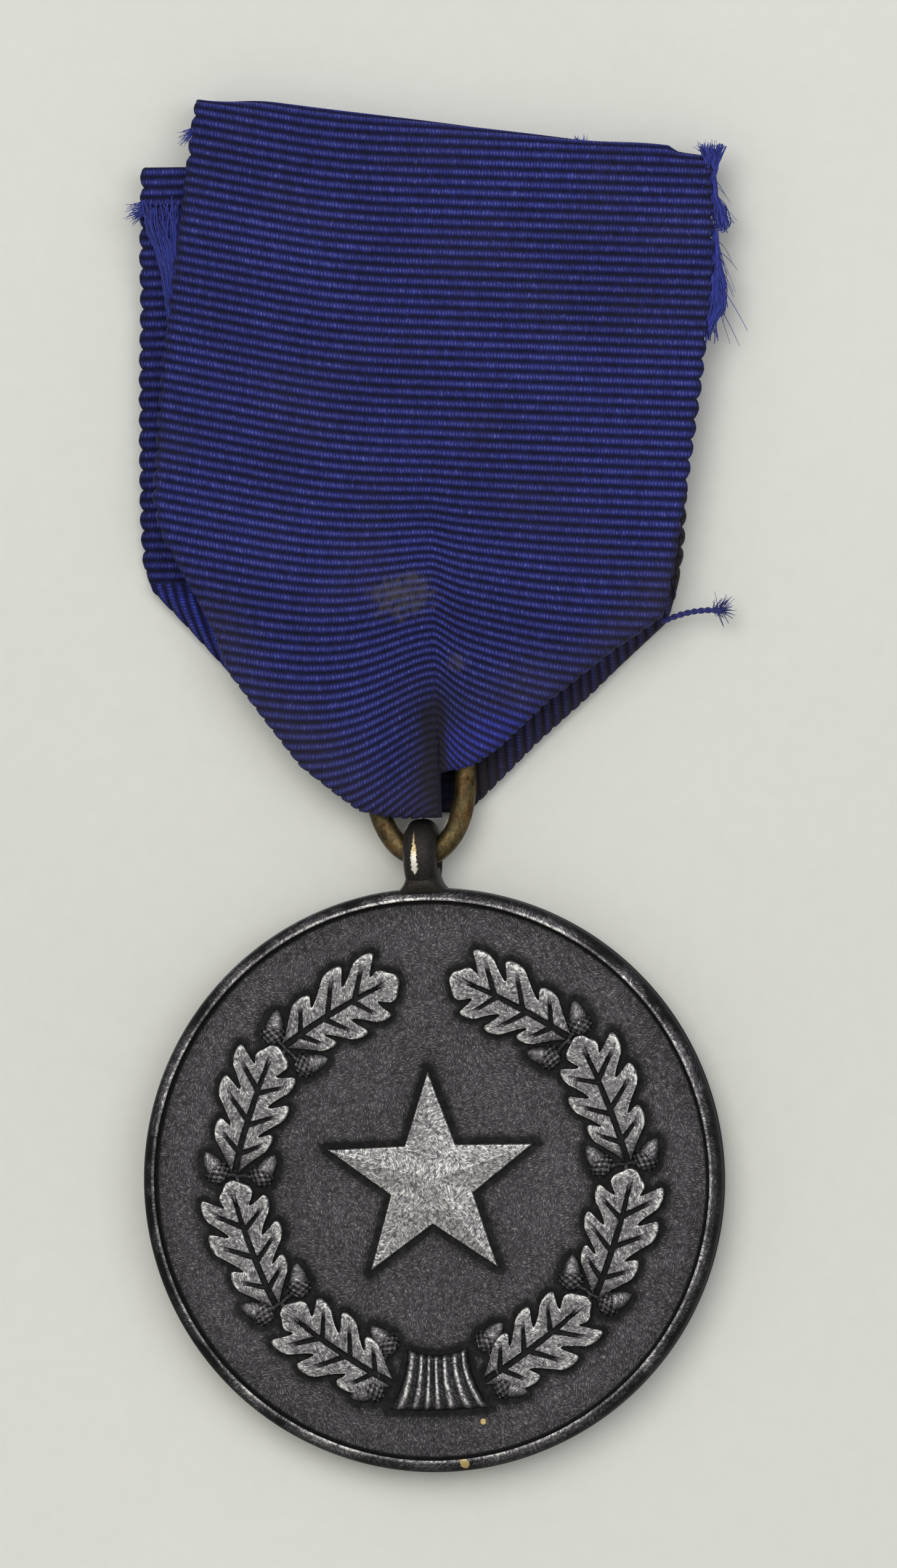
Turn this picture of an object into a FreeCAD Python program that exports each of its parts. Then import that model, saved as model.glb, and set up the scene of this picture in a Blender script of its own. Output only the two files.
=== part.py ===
"""Military service medal on a folded ribbon, with a sewn-on brooch.

Frame: +Z up as worn, the obverse faces -Y, +X to the viewer's right. The origin is the centre of
the disc on the plane of its reverse rim. Every length is in millimetres and every angle in degrees.

From the bottom: a struck disc with a soldered eye, an oval ring through the eye, a ribbon folded
through the ring into a V, and a brass brooch sewn to the back of the ribbon.
"""

import FreeCAD, Part
import math
import os

Vector = FreeCAD.Vector

# ---- driving dimensions -------------------------------------------------------------------------

DISC_RADIUS = 19.0
DISC_THICKNESS = 3.0
FIELD_DEPTH = 0.45          # how far each face lies below its rim
RIM_INNER_RADIUS = 18.15
RIM_WALL_SLOPE = 0.15       # the rim's inner wall leans in by this much
RIM_CREST_WIDTH = 0.35
RIM_SHOULDER = 0.4          # rounding from the crest down to the edge

LEAF_LENGTH = 8.2
LEAF_HALF_WIDTH = 2.3
LEAF_HEIGHT = 0.34
WREATH_RADIUS = 12.4
WREATH_LEAF_ANGLES = (26.8, 66.7, 108.0, 148.5)   # leaf centres, from twelve o'clock
ACORN_ANGLES = (44.3, 84.9, 125.0, 162.4)
ACORN_OUTER_RADIUS = 14.4
ACORN_INNER_RADIUS = 11.1
ACORN_SPLAY = 45.0
ACORN_LENGTH = 2.6
ACORN_RADIUS = 0.72

STUMP_TOP = 10.8            # distances below the centre
STUMP_BOTTOM = 15.0
STUMP_WAIST = 1.95          # half widths
STUMP_FOOT = 3.3

STAR_RADIUS = 7.0
STAR_INNER_SHARE = 0.40
STAR_HEIGHT = 0.42

EYE_WIDTH = 2.0
EYE_RADIUS = 2.2
EYE_HOLE_RADIUS = 1.08
EYE_FOOT_DEPTH = 2.1
EYE_EDGE_FILLET = 0.35

RING_WIRE_RADIUS = 0.65
RING_HALF_WIDTH = 3.25      # of the wire's centre line
RING_HALF_HEIGHT = 5.1
RING_BOTTOM_Z = 21.11       # the wire's centre at its lowest point, which is the medal's swing axis
RING_SPLIT_GAP = 0.12
RING_SPLIT_ANGLE = 62.0

RIBBON_FLEX_Z = 58.0        # where the free ribbon starts to bend below the brooch
RIBBON_TOP_HALF = 1.1       # half thickness of the four layers under the brooch
RIBBON_LOW_HALF = 1.75      # half thickness where the layers part round the ring
RIBBON_RING_GAP_HALF = 0.9  # half the space between the layers at the ring
RIBBON_FLEX_GAP = 0.1
RING_POCKET_TOP_Z = 33.2
FOLD_NECK_HALF_WIDTH = 1.3  # the bundle of ribbon that passes through the ring
FOLD_NECK_HALF_HEIGHT = 3.1
FOLD_NECK_Z = 27.3

HEM_THREAD_RADIUS = 0.22

BROOCH_X = 0.8
BROOCH_Z = 62.5
BROOCH_LENGTH = 30.0
BROOCH_HEIGHT = 4.0
BROOCH_THICKNESS = 0.6
RIVET_RADIUS = 0.7
RIVET_HEAD_RADIUS = 1.25
RIVET_HEAD_HEIGHT = 0.5
RIVET_OFFSET = 12.7         # from the bar's middle
WASHER_THICKNESS = 0.9
WASHER_RADIUS = 1.3
NEEDLE_RADIUS = 0.4
NEEDLE_EYE_RADIUS = 1.3
NEEDLE_EYE_CLEARANCE = 0.05
NEEDLE_TAPER_START = 9.3    # from the bar's middle
NEEDLE_TIP = 14.0
NEEDLE_TIP_RADIUS = 0.06
HOOK_START = 11.2           # from the bar's middle
HOOK_WIDTH = 2.0
HOOK_STRIP = 0.4
HOOK_INNER_RADIUS = 0.55
HOOK_LIP = 0.4
STITCH_OFFSETS = (-9.0, -3.0, 3.0, 9.0)
STITCH_HOLE_RADIUS = 0.45
STITCH_THREAD_RADIUS = 0.17
STITCH_HOLE_Z = 61.4

# ---- derived places -----------------------------------------------------------------------------

MID_Y = -DISC_THICKNESS / 2                     # the plane that disc, eye, ring and ribbon share
OBVERSE_FIELD_Y = -DISC_THICKNESS + FIELD_DEPTH
RELIEF_ROOT = 0.15                              # how far relief reaches into the field, to fuse
RING_CENTRE_Z = RING_BOTTOM_Z + RING_HALF_HEIGHT
BAR_INNER_Y = MID_Y + RIBBON_TOP_HALF
BAR_OUTER_Y = BAR_INNER_Y + BROOCH_THICKNESS
NEEDLE_INNER_Y = BAR_OUTER_Y + WASHER_THICKNESS
NEEDLE_Y = NEEDLE_INNER_Y + NEEDLE_RADIUS
NEEDLE_OUTER_Y = NEEDLE_Y + NEEDLE_RADIUS
RIVET_X = BROOCH_X - RIVET_OFFSET

# The folded ribbon's outline, as (x, z). The front half leans 8.7 degrees to the right, and the
# back half hangs nearly straight, so each half has its own edges.
FRONT_DRAPE = [
    (-15.2, RIBBON_FLEX_Z), (-15.85, 50.9), (-15.7, 43.4), (-13.2, 38.4), (-11.6, 33.2),
    (-3.3, 24.1), (1.2, 23.8), (1.9, 26.5), (3.9, 27.0), (12.2, 32.9),
    (16.7, 36.4), (17.5, 37.4), (18.7, 47.0), (20.2, RIBBON_FLEX_Z),
]
BACK_DRAPE = [
    (-16.7, RIBBON_FLEX_Z), (-17.25, 40.8), (-16.9, 39.7), (-3.3, 24.1), (3.5, 24.1),
    (15.8, 35.4), (17.1, 37.2), (17.7, RIBBON_FLEX_Z),
]
FRONT_TOP_CORNERS = [(-12.3, 70.7), (21.3, 65.6)]
BACK_TOP_CORNERS = [(-16.2, 66.4), (18.2, 66.5)]


# ---- solid helpers ------------------------------------------------------------------------------

def polygon_face(points):
    return Part.Face(Part.makePolygon(list(points) + [points[0]]))


def prism_along_y(outline, y_start, y_end):
    """Solid between two Y planes over an (x, z) outline."""
    face = polygon_face([Vector(x, y_start, z) for x, z in outline])
    return face.extrude(Vector(0, y_end - y_start, 0))


def prism_along_x(outline, x_start, x_end):
    """Solid between two X planes over a (y, z) outline."""
    face = polygon_face([Vector(x_start, y, z) for y, z in outline])
    return face.extrude(Vector(x_end - x_start, 0, 0))


def cylinder_along_x(radius, x_start, x_end, y, z):
    return Part.makeCylinder(radius, x_end - x_start, Vector(x_start, y, z), Vector(1, 0, 0))


def cylinder_along_y(radius, y_start, y_end, x, z):
    return Part.makeCylinder(radius, y_end - y_start, Vector(x, y_start, z), Vector(0, 1, 0))


def box(x_start, x_end, y_start, y_end, z_start, z_end):
    return Part.makeBox(x_end - x_start, y_end - y_start, z_end - z_start,
                        Vector(x_start, y_start, z_start))


def wreath_place(side, angle, radius):
    """(x, z) on the wreath: side is -1 left or +1 right, angle is from twelve o'clock."""
    turn = math.radians(angle)
    return side * radius * math.sin(turn), radius * math.cos(turn)


def growth_direction(side, angle):
    """The way the wreath grows, from the stump towards the top, in degrees from +X."""
    return angle if side < 0 else 180.0 - angle


# ---- disc and its relief ------------------------------------------------------------------------

def disc_blank():
    """The turned blank: two recessed fields inside raised rims."""
    front, back = -DISC_THICKNESS, 0.0
    crest_outer = RIM_INNER_RADIUS + RIM_CREST_WIDTH
    wall_foot = RIM_INNER_RADIUS - RIM_WALL_SLOPE
    bulge = (DISC_RADIUS - crest_outer) * math.sin(math.radians(45))
    rise = RIM_SHOULDER * (1 - math.cos(math.radians(45)))

    def at(radius, y):
        return Vector(radius, y, 0)

    edges = [
        Part.makeLine(at(0, front + FIELD_DEPTH), at(wall_foot, front + FIELD_DEPTH)),
        Part.makeLine(at(wall_foot, front + FIELD_DEPTH), at(RIM_INNER_RADIUS, front)),
        Part.makeLine(at(RIM_INNER_RADIUS, front), at(crest_outer, front)),
        Part.Arc(at(crest_outer, front), at(crest_outer + bulge, front + rise),
                 at(DISC_RADIUS, front + RIM_SHOULDER)).toShape(),
        Part.makeLine(at(DISC_RADIUS, front + RIM_SHOULDER), at(DISC_RADIUS, back - RIM_SHOULDER)),
        Part.Arc(at(DISC_RADIUS, back - RIM_SHOULDER), at(crest_outer + bulge, back - rise),
                 at(crest_outer, back)).toShape(),
        Part.makeLine(at(crest_outer, back), at(RIM_INNER_RADIUS, back)),
        Part.makeLine(at(RIM_INNER_RADIUS, back), at(wall_foot, back - FIELD_DEPTH)),
        Part.makeLine(at(wall_foot, back - FIELD_DEPTH), at(0, back - FIELD_DEPTH)),
        Part.makeLine(at(0, back - FIELD_DEPTH), at(0, front + FIELD_DEPTH)),
    ]
    return Part.Face(Part.Wire(edges)).revolve(Vector(0, 0, 0), Vector(0, 1, 0), 360)


def oak_leaf(side, angle):
    """A lobed leaf plate on the obverse field, its tip towards the top of the disc."""
    # (share of the length from the stalk, share of the half width), up one side of the leaf
    lobes = [(0.00, 0.10), (0.12, 0.22), (0.21, 0.50), (0.27, 0.27), (0.33, 0.40), (0.43, 0.84),
             (0.47, 0.40), (0.53, 0.50), (0.64, 1.00), (0.69, 0.45), (0.76, 0.52), (0.86, 0.80),
             (0.89, 0.38), (0.97, 0.32)]
    outline = [(along, across) for along, across in lobes]
    outline += [(1.02, 0.0)]
    outline += [(along, -across) for along, across in reversed(lobes)]
    centre_x, centre_z = wreath_place(side, angle, WREATH_RADIUS)
    turn = math.radians(growth_direction(side, angle))
    points = []
    for along, across in outline:
        forward = (along - 0.5) * LEAF_LENGTH
        sideways = across * LEAF_HALF_WIDTH
        points.append(Vector(
            centre_x + forward * math.cos(turn) - sideways * math.sin(turn),
            OBVERSE_FIELD_Y + RELIEF_ROOT,
            centre_z + forward * math.sin(turn) + sideways * math.cos(turn)))
    curve = Part.BSplineCurve()
    curve.interpolate(Points=points, PeriodicFlag=True)
    face = Part.Face(Part.Wire([curve.toShape()]))
    return face.extrude(Vector(0, -(LEAF_HEIGHT + RELIEF_ROOT), 0))


def acorn(side, angle, radius, splay):
    """A nut in its cup, half sunk in the field, pointing splay degrees off the growth."""
    x, z = wreath_place(side, angle, radius)
    turn = growth_direction(side, angle) + splay
    cup_share = 0.42
    cup_radius = ACORN_RADIUS * 1.12

    def at(along, out):
        return Vector(along - ACORN_LENGTH / 2, out, 0)

    profile = [
        Part.Arc(at(0, 0), at(0.18, cup_radius * 0.75), at(0.55, cup_radius)).toShape(),
        Part.makeLine(at(0.55, cup_radius), at(ACORN_LENGTH * cup_share, cup_radius)),
        Part.makeLine(at(ACORN_LENGTH * cup_share, cup_radius),
                      at(ACORN_LENGTH * cup_share, ACORN_RADIUS)),
        Part.Arc(at(ACORN_LENGTH * cup_share, ACORN_RADIUS),
                 at(ACORN_LENGTH * 0.80, ACORN_RADIUS * 0.78), at(ACORN_LENGTH, 0)).toShape(),
        Part.makeLine(at(ACORN_LENGTH, 0), at(0, 0)),
    ]
    solid = Part.Face(Part.Wire(profile)).revolve(Vector(0, 0, 0), Vector(1, 0, 0), 360)
    solid.rotate(Vector(0, 0, 0), Vector(0, 1, 0), -turn)
    solid.translate(Vector(x, OBVERSE_FIELD_Y + ACORN_RADIUS * 0.45, z))
    return solid


def tree_stump():
    """The fluted foot of the wreath: concave sides and a dished top."""
    y_root = OBVERSE_FIELD_Y + RELIEF_ROOT
    flare = (STUMP_WAIST + STUMP_FOOT) / 2 - 0.35
    middle = (STUMP_TOP + STUMP_BOTTOM) / 2

    def at(x, below):
        return Vector(x, y_root, -below)

    edges = [
        Part.Arc(at(-STUMP_WAIST, STUMP_TOP), at(0, STUMP_TOP + 0.55),
                 at(STUMP_WAIST, STUMP_TOP)).toShape(),
        Part.Arc(at(STUMP_WAIST, STUMP_TOP), at(flare, middle),
                 at(STUMP_FOOT, STUMP_BOTTOM - 0.3)).toShape(),
        Part.Arc(at(STUMP_FOOT, STUMP_BOTTOM - 0.3), at(0, STUMP_BOTTOM + 0.1),
                 at(-STUMP_FOOT, STUMP_BOTTOM - 0.3)).toShape(),
        Part.Arc(at(-STUMP_FOOT, STUMP_BOTTOM - 0.3), at(-flare, middle),
                 at(-STUMP_WAIST, STUMP_TOP)).toShape(),
    ]
    face = Part.Face(Part.Wire(edges))
    return face.extrude(Vector(0, -(LEAF_HEIGHT + RELIEF_ROOT), 0))


def faceted_star():
    """A plain five-pointed star with a ridge to every point."""
    y_root = OBVERSE_FIELD_Y + RELIEF_ROOT
    y_field = OBVERSE_FIELD_Y - 0.06
    rim = []
    for step in range(10):
        radius = STAR_RADIUS if step % 2 == 0 else STAR_RADIUS * STAR_INNER_SHARE
        turn = math.radians(90 + 36 * step)
        rim.append((radius * math.cos(turn), radius * math.sin(turn)))
    apex = Vector(0, OBVERSE_FIELD_Y - STAR_HEIGHT, 0)
    faces = [polygon_face([Vector(x, y_root, z) for x, z in rim])]
    for (x0, z0), (x1, z1) in zip(rim, rim[1:] + rim[:1]):
        faces.append(polygon_face([Vector(x0, y_root, z0), Vector(x1, y_root, z1),
                                   Vector(x1, y_field, z1), Vector(x0, y_field, z0)]))
        faces.append(polygon_face([Vector(x0, y_field, z0), Vector(x1, y_field, z1), apex]))
    return Part.makeSolid(Part.makeShell(faces))


def medal_disc():
    relief = [tree_stump(), faceted_star()]
    for side in (-1, 1):
        for angle in WREATH_LEAF_ANGLES:
            relief.append(oak_leaf(side, angle))
        for angle in ACORN_ANGLES:
            outward = ACORN_SPLAY if side < 0 else -ACORN_SPLAY
            relief.append(acorn(side, angle, ACORN_OUTER_RADIUS, outward))
            relief.append(acorn(side, angle, ACORN_INNER_RADIUS, -outward))
    return disc_blank().fuse(relief)


# ---- eye and its solder -------------------------------------------------------------------------

def disc_envelope():
    return cylinder_along_y(DISC_RADIUS, -DISC_THICKNESS, 0, 0, 0)


def suspension_eye():
    """A strap bent into a loop across the disc, standing on its rim."""
    half = EYE_WIDTH / 2
    foot = EYE_FOOT_DEPTH / 2
    loop = cylinder_along_x(EYE_RADIUS, -half, half, MID_Y, RING_BOTTOM_Z)
    loop = loop.makeFillet(EYE_EDGE_FILLET, [e for e in loop.Edges if abs(e.Length
                           - 2 * math.pi * EYE_RADIUS) < 1e-3])
    neck = box(-half, half, MID_Y - foot, MID_Y + foot, DISC_RADIUS - 1, RING_BOTTOM_Z - 0.9)
    hole = cylinder_along_x(EYE_HOLE_RADIUS, -half - 1, half + 1, MID_Y, RING_BOTTOM_Z)
    return loop.fuse(neck).removeSplitter().cut(hole).cut(disc_envelope())


def eye_solder():
    """The collar of solder where the eye's foot meets the rim."""
    sections = []
    for z, half_x, half_y in ((18.7, 1.62, 1.24), (19.15, 1.32, 1.18), (19.6, 1.1, 1.12)):
        corners = [(-half_x, -half_y), (half_x, -half_y), (half_x, half_y), (-half_x, half_y)]
        points = [Vector(x, MID_Y + y, z) for x, y in corners]
        sections.append(Part.makePolygon(points + points[:1]))
    collar = Part.makeLoft(sections, True, True)
    core = box(-EYE_WIDTH / 2, EYE_WIDTH / 2, MID_Y - EYE_FOOT_DEPTH / 2,
               MID_Y + EYE_FOOT_DEPTH / 2, 18, 21)
    return collar.cut(core).cut(suspension_eye()).cut(disc_envelope())


# ---- ring ---------------------------------------------------------------------------------------

def suspension_ring():
    """Round wire bent into an oval, with a butt joint that the ribbon hides."""
    centre = Vector(0, MID_Y, RING_CENTRE_Z)
    path = Part.Ellipse(Vector(0, MID_Y, RING_CENTRE_Z + RING_HALF_HEIGHT),
                        Vector(RING_HALF_WIDTH, MID_Y, RING_CENTRE_Z), centre).toShape()
    start = path.valueAt(path.FirstParameter)
    tangent = path.tangentAt(path.FirstParameter)
    wire_section = Part.Wire([Part.makeCircle(RING_WIRE_RADIUS, start, tangent)])
    ring = Part.Wire([path]).makePipeShell([wire_section], True, True)
    turn = math.radians(RING_SPLIT_ANGLE)
    joint = box(-RING_SPLIT_GAP / 2, RING_SPLIT_GAP / 2, MID_Y - 2, MID_Y + 2, 0, 8)
    joint.rotate(Vector(0, 0, 0), Vector(0, 1, 0), 90 - math.degrees(turn))
    joint.translate(Vector(0, 0, RING_CENTRE_Z))
    return ring.cut(joint)


# ---- ribbon -------------------------------------------------------------------------------------

def ribbon_drape():
    """The ribbon's free part: two layers in a V, joined by the bundle that runs through the ring."""
    front = prism_along_y(FRONT_DRAPE, MID_Y - RIBBON_LOW_HALF, MID_Y)
    back = prism_along_y(BACK_DRAPE, MID_Y, MID_Y + RIBBON_LOW_HALF)
    body = front.fuse(back)
    taper_z = 48.0
    thick_z = 36.0
    side_view = [
        (MID_Y - RIBBON_TOP_HALF, RIBBON_FLEX_Z), (MID_Y - RIBBON_TOP_HALF, taper_z),
        (MID_Y - RIBBON_LOW_HALF, thick_z), (MID_Y - RIBBON_LOW_HALF, 20),
        (MID_Y + RIBBON_LOW_HALF, 20), (MID_Y + RIBBON_LOW_HALF, thick_z),
        (MID_Y + RIBBON_TOP_HALF, taper_z), (MID_Y + RIBBON_TOP_HALF, RIBBON_FLEX_Z),
    ]
    body = body.common(prism_along_x(side_view, -30, 30))
    left = FRONT_DRAPE[0][0]
    right = BACK_DRAPE[-1][0]
    rolled_top = cylinder_along_x(RIBBON_TOP_HALF, left, right, MID_Y, RIBBON_FLEX_Z)
    body = body.fuse(rolled_top)
    pocket = box(-30, 30, MID_Y - RIBBON_RING_GAP_HALF, MID_Y + RIBBON_RING_GAP_HALF,
                 0, RING_POCKET_TOP_Z)
    neck = Part.Ellipse(Vector(0, MID_Y - 1, FOLD_NECK_Z + FOLD_NECK_HALF_HEIGHT),
                        Vector(FOLD_NECK_HALF_WIDTH, MID_Y - 1, FOLD_NECK_Z),
                        Vector(0, MID_Y - 1, FOLD_NECK_Z)).toShape()
    neck = Part.Face(Part.Wire([neck])).extrude(Vector(0, 2, 0))
    return body.cut(pocket).fuse(neck)


def ribbon_top():
    """The part of the ribbon that the brooch holds, with both turned-over ends."""
    foot_z = RIBBON_FLEX_Z + RIBBON_TOP_HALF + RIBBON_FLEX_GAP
    front_left, front_right = FRONT_TOP_CORNERS
    back_left, back_right = BACK_TOP_CORNERS
    front = [(FRONT_DRAPE[0][0] + 0.2, foot_z), front_left, front_right,
             (FRONT_DRAPE[-1][0] + 0.15, foot_z)]
    back = [(BACK_DRAPE[0][0], foot_z), back_left, back_right, (BACK_DRAPE[-1][0], foot_z)]
    return prism_along_y(front, MID_Y - RIBBON_TOP_HALF, MID_Y).fuse(
        prism_along_y(back, MID_Y, MID_Y + RIBBON_TOP_HALF))


def hem_thread():
    """A loose end of sewing thread at the fold on the right."""
    start = Vector(17.2, MID_Y, 36.75)
    end = Vector(20.6, MID_Y, 37.1)
    strand = Part.makeCylinder(HEM_THREAD_RADIUS, (end - start).Length, start, end - start)
    return strand.cut(ribbon_drape())


# ---- brooch -------------------------------------------------------------------------------------

def brooch_bar():
    """Brass strip with rounded ends, a rivet hole and four sewing holes."""
    half_length = BROOCH_LENGTH / 2
    half_height = BROOCH_HEIGHT / 2
    bar = box(BROOCH_X - half_length, BROOCH_X + half_length, BAR_INNER_Y, BAR_OUTER_Y,
              BROOCH_Z - half_height, BROOCH_Z + half_height)
    corners = [e for e in bar.Edges if abs(e.Length - BROOCH_THICKNESS) < 1e-6]
    bar = bar.makeFillet(half_height * 0.6, corners)
    holes = [cylinder_along_y(RIVET_RADIUS, BAR_INNER_Y - 1, BAR_OUTER_Y + 1, RIVET_X, BROOCH_Z)]
    for offset in STITCH_OFFSETS:
        holes.append(cylinder_along_y(STITCH_HOLE_RADIUS, BAR_INNER_Y - 1, BAR_OUTER_Y + 1,
                                      BROOCH_X + offset, STITCH_HOLE_Z))
    return bar.cut(holes)


def needle_rivet():
    """Shank through bar, washer and needle, with a domed head."""
    shank = cylinder_along_y(RIVET_RADIUS, BAR_INNER_Y, NEEDLE_OUTER_Y + 0.04, RIVET_X, BROOCH_Z)
    dome_radius = (RIVET_HEAD_RADIUS ** 2 + RIVET_HEAD_HEIGHT ** 2) / (2 * RIVET_HEAD_HEIGHT)
    head_base = NEEDLE_OUTER_Y + 0.04
    dome_centre = head_base + RIVET_HEAD_HEIGHT - dome_radius
    dome = Part.makeSphere(dome_radius, Vector(RIVET_X, dome_centre, BROOCH_Z))
    slab = cylinder_along_y(RIVET_HEAD_RADIUS + 1, head_base, head_base + 2, RIVET_X, BROOCH_Z)
    return shank.fuse(dome.common(slab))


def needle_washer():
    ring = cylinder_along_y(WASHER_RADIUS, BAR_OUTER_Y, NEEDLE_INNER_Y - 0.03, RIVET_X, BROOCH_Z)
    hole = cylinder_along_y(RIVET_RADIUS + 0.02, BAR_OUTER_Y - 1, NEEDLE_INNER_Y + 1,
                            RIVET_X, BROOCH_Z)
    return ring.cut(hole)


def brooch_needle():
    """Flattened eye on the rivet, straight shaft, tapered point."""
    eye = cylinder_along_y(NEEDLE_EYE_RADIUS, NEEDLE_INNER_Y, NEEDLE_OUTER_Y, RIVET_X, BROOCH_Z)
    taper_x = BROOCH_X + NEEDLE_TAPER_START
    tip_x = BROOCH_X + NEEDLE_TIP
    shaft = cylinder_along_x(NEEDLE_RADIUS, RIVET_X + 1.0, taper_x, NEEDLE_Y, BROOCH_Z)
    point = Part.makeCone(NEEDLE_RADIUS, NEEDLE_TIP_RADIUS, tip_x - taper_x,
                          Vector(taper_x, NEEDLE_Y, BROOCH_Z), Vector(1, 0, 0))
    hole = cylinder_along_y(RIVET_RADIUS + NEEDLE_EYE_CLEARANCE, NEEDLE_INNER_Y - 1,
                            NEEDLE_OUTER_Y + 1, RIVET_X, BROOCH_Z)
    return eye.fuse([shaft, point]).cut(hole)


def catch_hook():
    """Bent strip over the needle's point, open downwards, with a foot soldered to the bar."""
    x_start = BROOCH_X + HOOK_START
    x_end = x_start + HOOK_WIDTH
    outer_radius = HOOK_INNER_RADIUS + HOOK_STRIP
    roof_low = BROOCH_Z + HOOK_INNER_RADIUS
    roof_high = BROOCH_Z + outer_radius
    bend = cylinder_along_x(outer_radius, x_start, x_end, NEEDLE_Y, BROOCH_Z)
    bend = bend.cut(cylinder_along_x(HOOK_INNER_RADIUS, x_start - 1, x_end + 1, NEEDLE_Y, BROOCH_Z))
    bend = bend.common(box(x_start, x_end, NEEDLE_Y, NEEDLE_Y + 3, BROOCH_Z, BROOCH_Z + 3))
    roof = box(x_start, x_end, BAR_OUTER_Y, NEEDLE_Y, roof_low, roof_high)
    lip = box(x_start, x_end, NEEDLE_Y + HOOK_INNER_RADIUS, NEEDLE_Y + outer_radius,
              BROOCH_Z - HOOK_LIP, BROOCH_Z)
    foot = box(x_start, x_end, BAR_OUTER_Y, BAR_OUTER_Y + HOOK_STRIP * 0.75,
               roof_low, BROOCH_Z + BROOCH_HEIGHT / 2 - 0.15)
    return bend.fuse([roof, lip, foot]).removeSplitter()


def brooch_stitches():
    """Four loops of thread from the bar's holes over its lower edge into the ribbon."""
    radius = STITCH_THREAD_RADIUS
    over_y = BAR_OUTER_Y + radius + 0.02
    edge_z = BROOCH_Z - BROOCH_HEIGHT / 2 - radius - 0.03
    loops = []
    for offset in STITCH_OFFSETS:
        x = BROOCH_X + offset
        rise = cylinder_along_y(radius, BAR_INNER_Y, over_y, x, STITCH_HOLE_Z)
        down = Part.makeCylinder(radius, STITCH_HOLE_Z - edge_z, Vector(x, over_y, edge_z))
        back = cylinder_along_y(radius, BAR_INNER_Y, over_y, x, edge_z)
        bends = [Part.makeSphere(radius, Vector(x, over_y, z)) for z in (STITCH_HOLE_Z, edge_z)]
        loops.append(rise.fuse([down, back] + bends).removeSplitter())
    return Part.makeCompound(loops)


# ---- export -------------------------------------------------------------------------------------

NODES = {
    "medal_disc": medal_disc,
    "suspension_eye": suspension_eye,
    "eye_solder": eye_solder,
    "suspension_ring": suspension_ring,
    "ribbon_drape": ribbon_drape,
    "ribbon_top": ribbon_top,
    "hem_thread": hem_thread,
    "brooch_bar": brooch_bar,
    "needle_rivet": needle_rivet,
    "needle_washer": needle_washer,
    "brooch_needle": brooch_needle,
    "catch_hook": catch_hook,
    "brooch_stitches": brooch_stitches,
}

os.makedirs("parts", exist_ok=True)
for node, make in NODES.items():
    shape = make()
    print(node, "solids", len(shape.Solids), "valid", shape.isValid(), "volume",
          round(shape.Volume, 3))
    shape.exportStep("parts/" + node + ".step")
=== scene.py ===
"""Military service medal: the looks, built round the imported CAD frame.

The meshes are worked out in millimetres in the frame's axes and scaled to metres when they are made.
+Z is up as worn, the obverse faces -Y and +X is to the viewer's right.
"""

import math

import bmesh
import bpy
import numpy as np
from mathutils import Matrix, Vector, kdtree, noise


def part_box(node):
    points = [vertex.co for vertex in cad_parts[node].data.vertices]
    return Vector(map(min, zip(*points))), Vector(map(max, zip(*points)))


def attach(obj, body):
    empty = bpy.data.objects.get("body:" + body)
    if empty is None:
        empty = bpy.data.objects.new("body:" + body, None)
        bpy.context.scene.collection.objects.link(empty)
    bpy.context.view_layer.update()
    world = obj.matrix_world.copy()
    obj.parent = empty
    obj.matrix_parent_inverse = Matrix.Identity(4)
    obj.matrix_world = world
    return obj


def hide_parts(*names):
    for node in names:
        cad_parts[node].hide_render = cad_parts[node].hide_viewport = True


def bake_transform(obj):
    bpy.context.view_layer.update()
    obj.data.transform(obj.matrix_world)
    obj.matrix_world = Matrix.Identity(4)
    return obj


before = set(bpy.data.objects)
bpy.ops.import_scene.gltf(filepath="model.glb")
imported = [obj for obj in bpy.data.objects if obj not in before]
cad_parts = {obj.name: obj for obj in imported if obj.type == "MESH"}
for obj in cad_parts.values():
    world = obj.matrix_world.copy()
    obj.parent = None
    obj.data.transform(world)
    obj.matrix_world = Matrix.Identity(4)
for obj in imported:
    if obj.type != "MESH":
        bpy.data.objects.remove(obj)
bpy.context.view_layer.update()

MM = 0.001
RNG = np.random.default_rng(7)


def mm_box(node):
    """The low and the high corner of a CAD node, in millimetres."""
    low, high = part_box(node)
    return np.array(low) / MM, np.array(high) / MM


# ---- sizes, in millimetres ----------------------------------------------------------------------

DISC_LOW, DISC_HIGH = mm_box("medal_disc")
DRAPE_LOW, DRAPE_HIGH = mm_box("ribbon_drape")
TOP_LOW, TOP_HIGH = mm_box("ribbon_top")

DISC_RADIUS = (DISC_HIGH[0] - DISC_LOW[0]) / 2
OBVERSE_Y = DISC_LOW[1]
REVERSE_Y = DISC_HIGH[1]
MID_Y = (OBVERSE_Y + REVERSE_Y) / 2
FIELD_DEPTH = 0.45            # below the rim
FIELD_Y = OBVERSE_Y + FIELD_DEPTH
RELIEF = 0.36                 # height of a leaf above the field

RIB_PITCH = 0.66
RIB_HEIGHT = 0.16
RIB_STEP = RIB_PITCH / 6      # mesh rows are this far apart
PLY = 0.42                    # thickness of one layer of ribbon


# ---- small helpers ------------------------------------------------------------------------------

def smooth(low, high, value):
    """0 below low, 1 above high and a smooth step between them; low may be above high."""
    share = np.clip((np.asarray(value, float) - low) / (high - low), 0, 1)
    return share * share * (3 - 2 * share)


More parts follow.
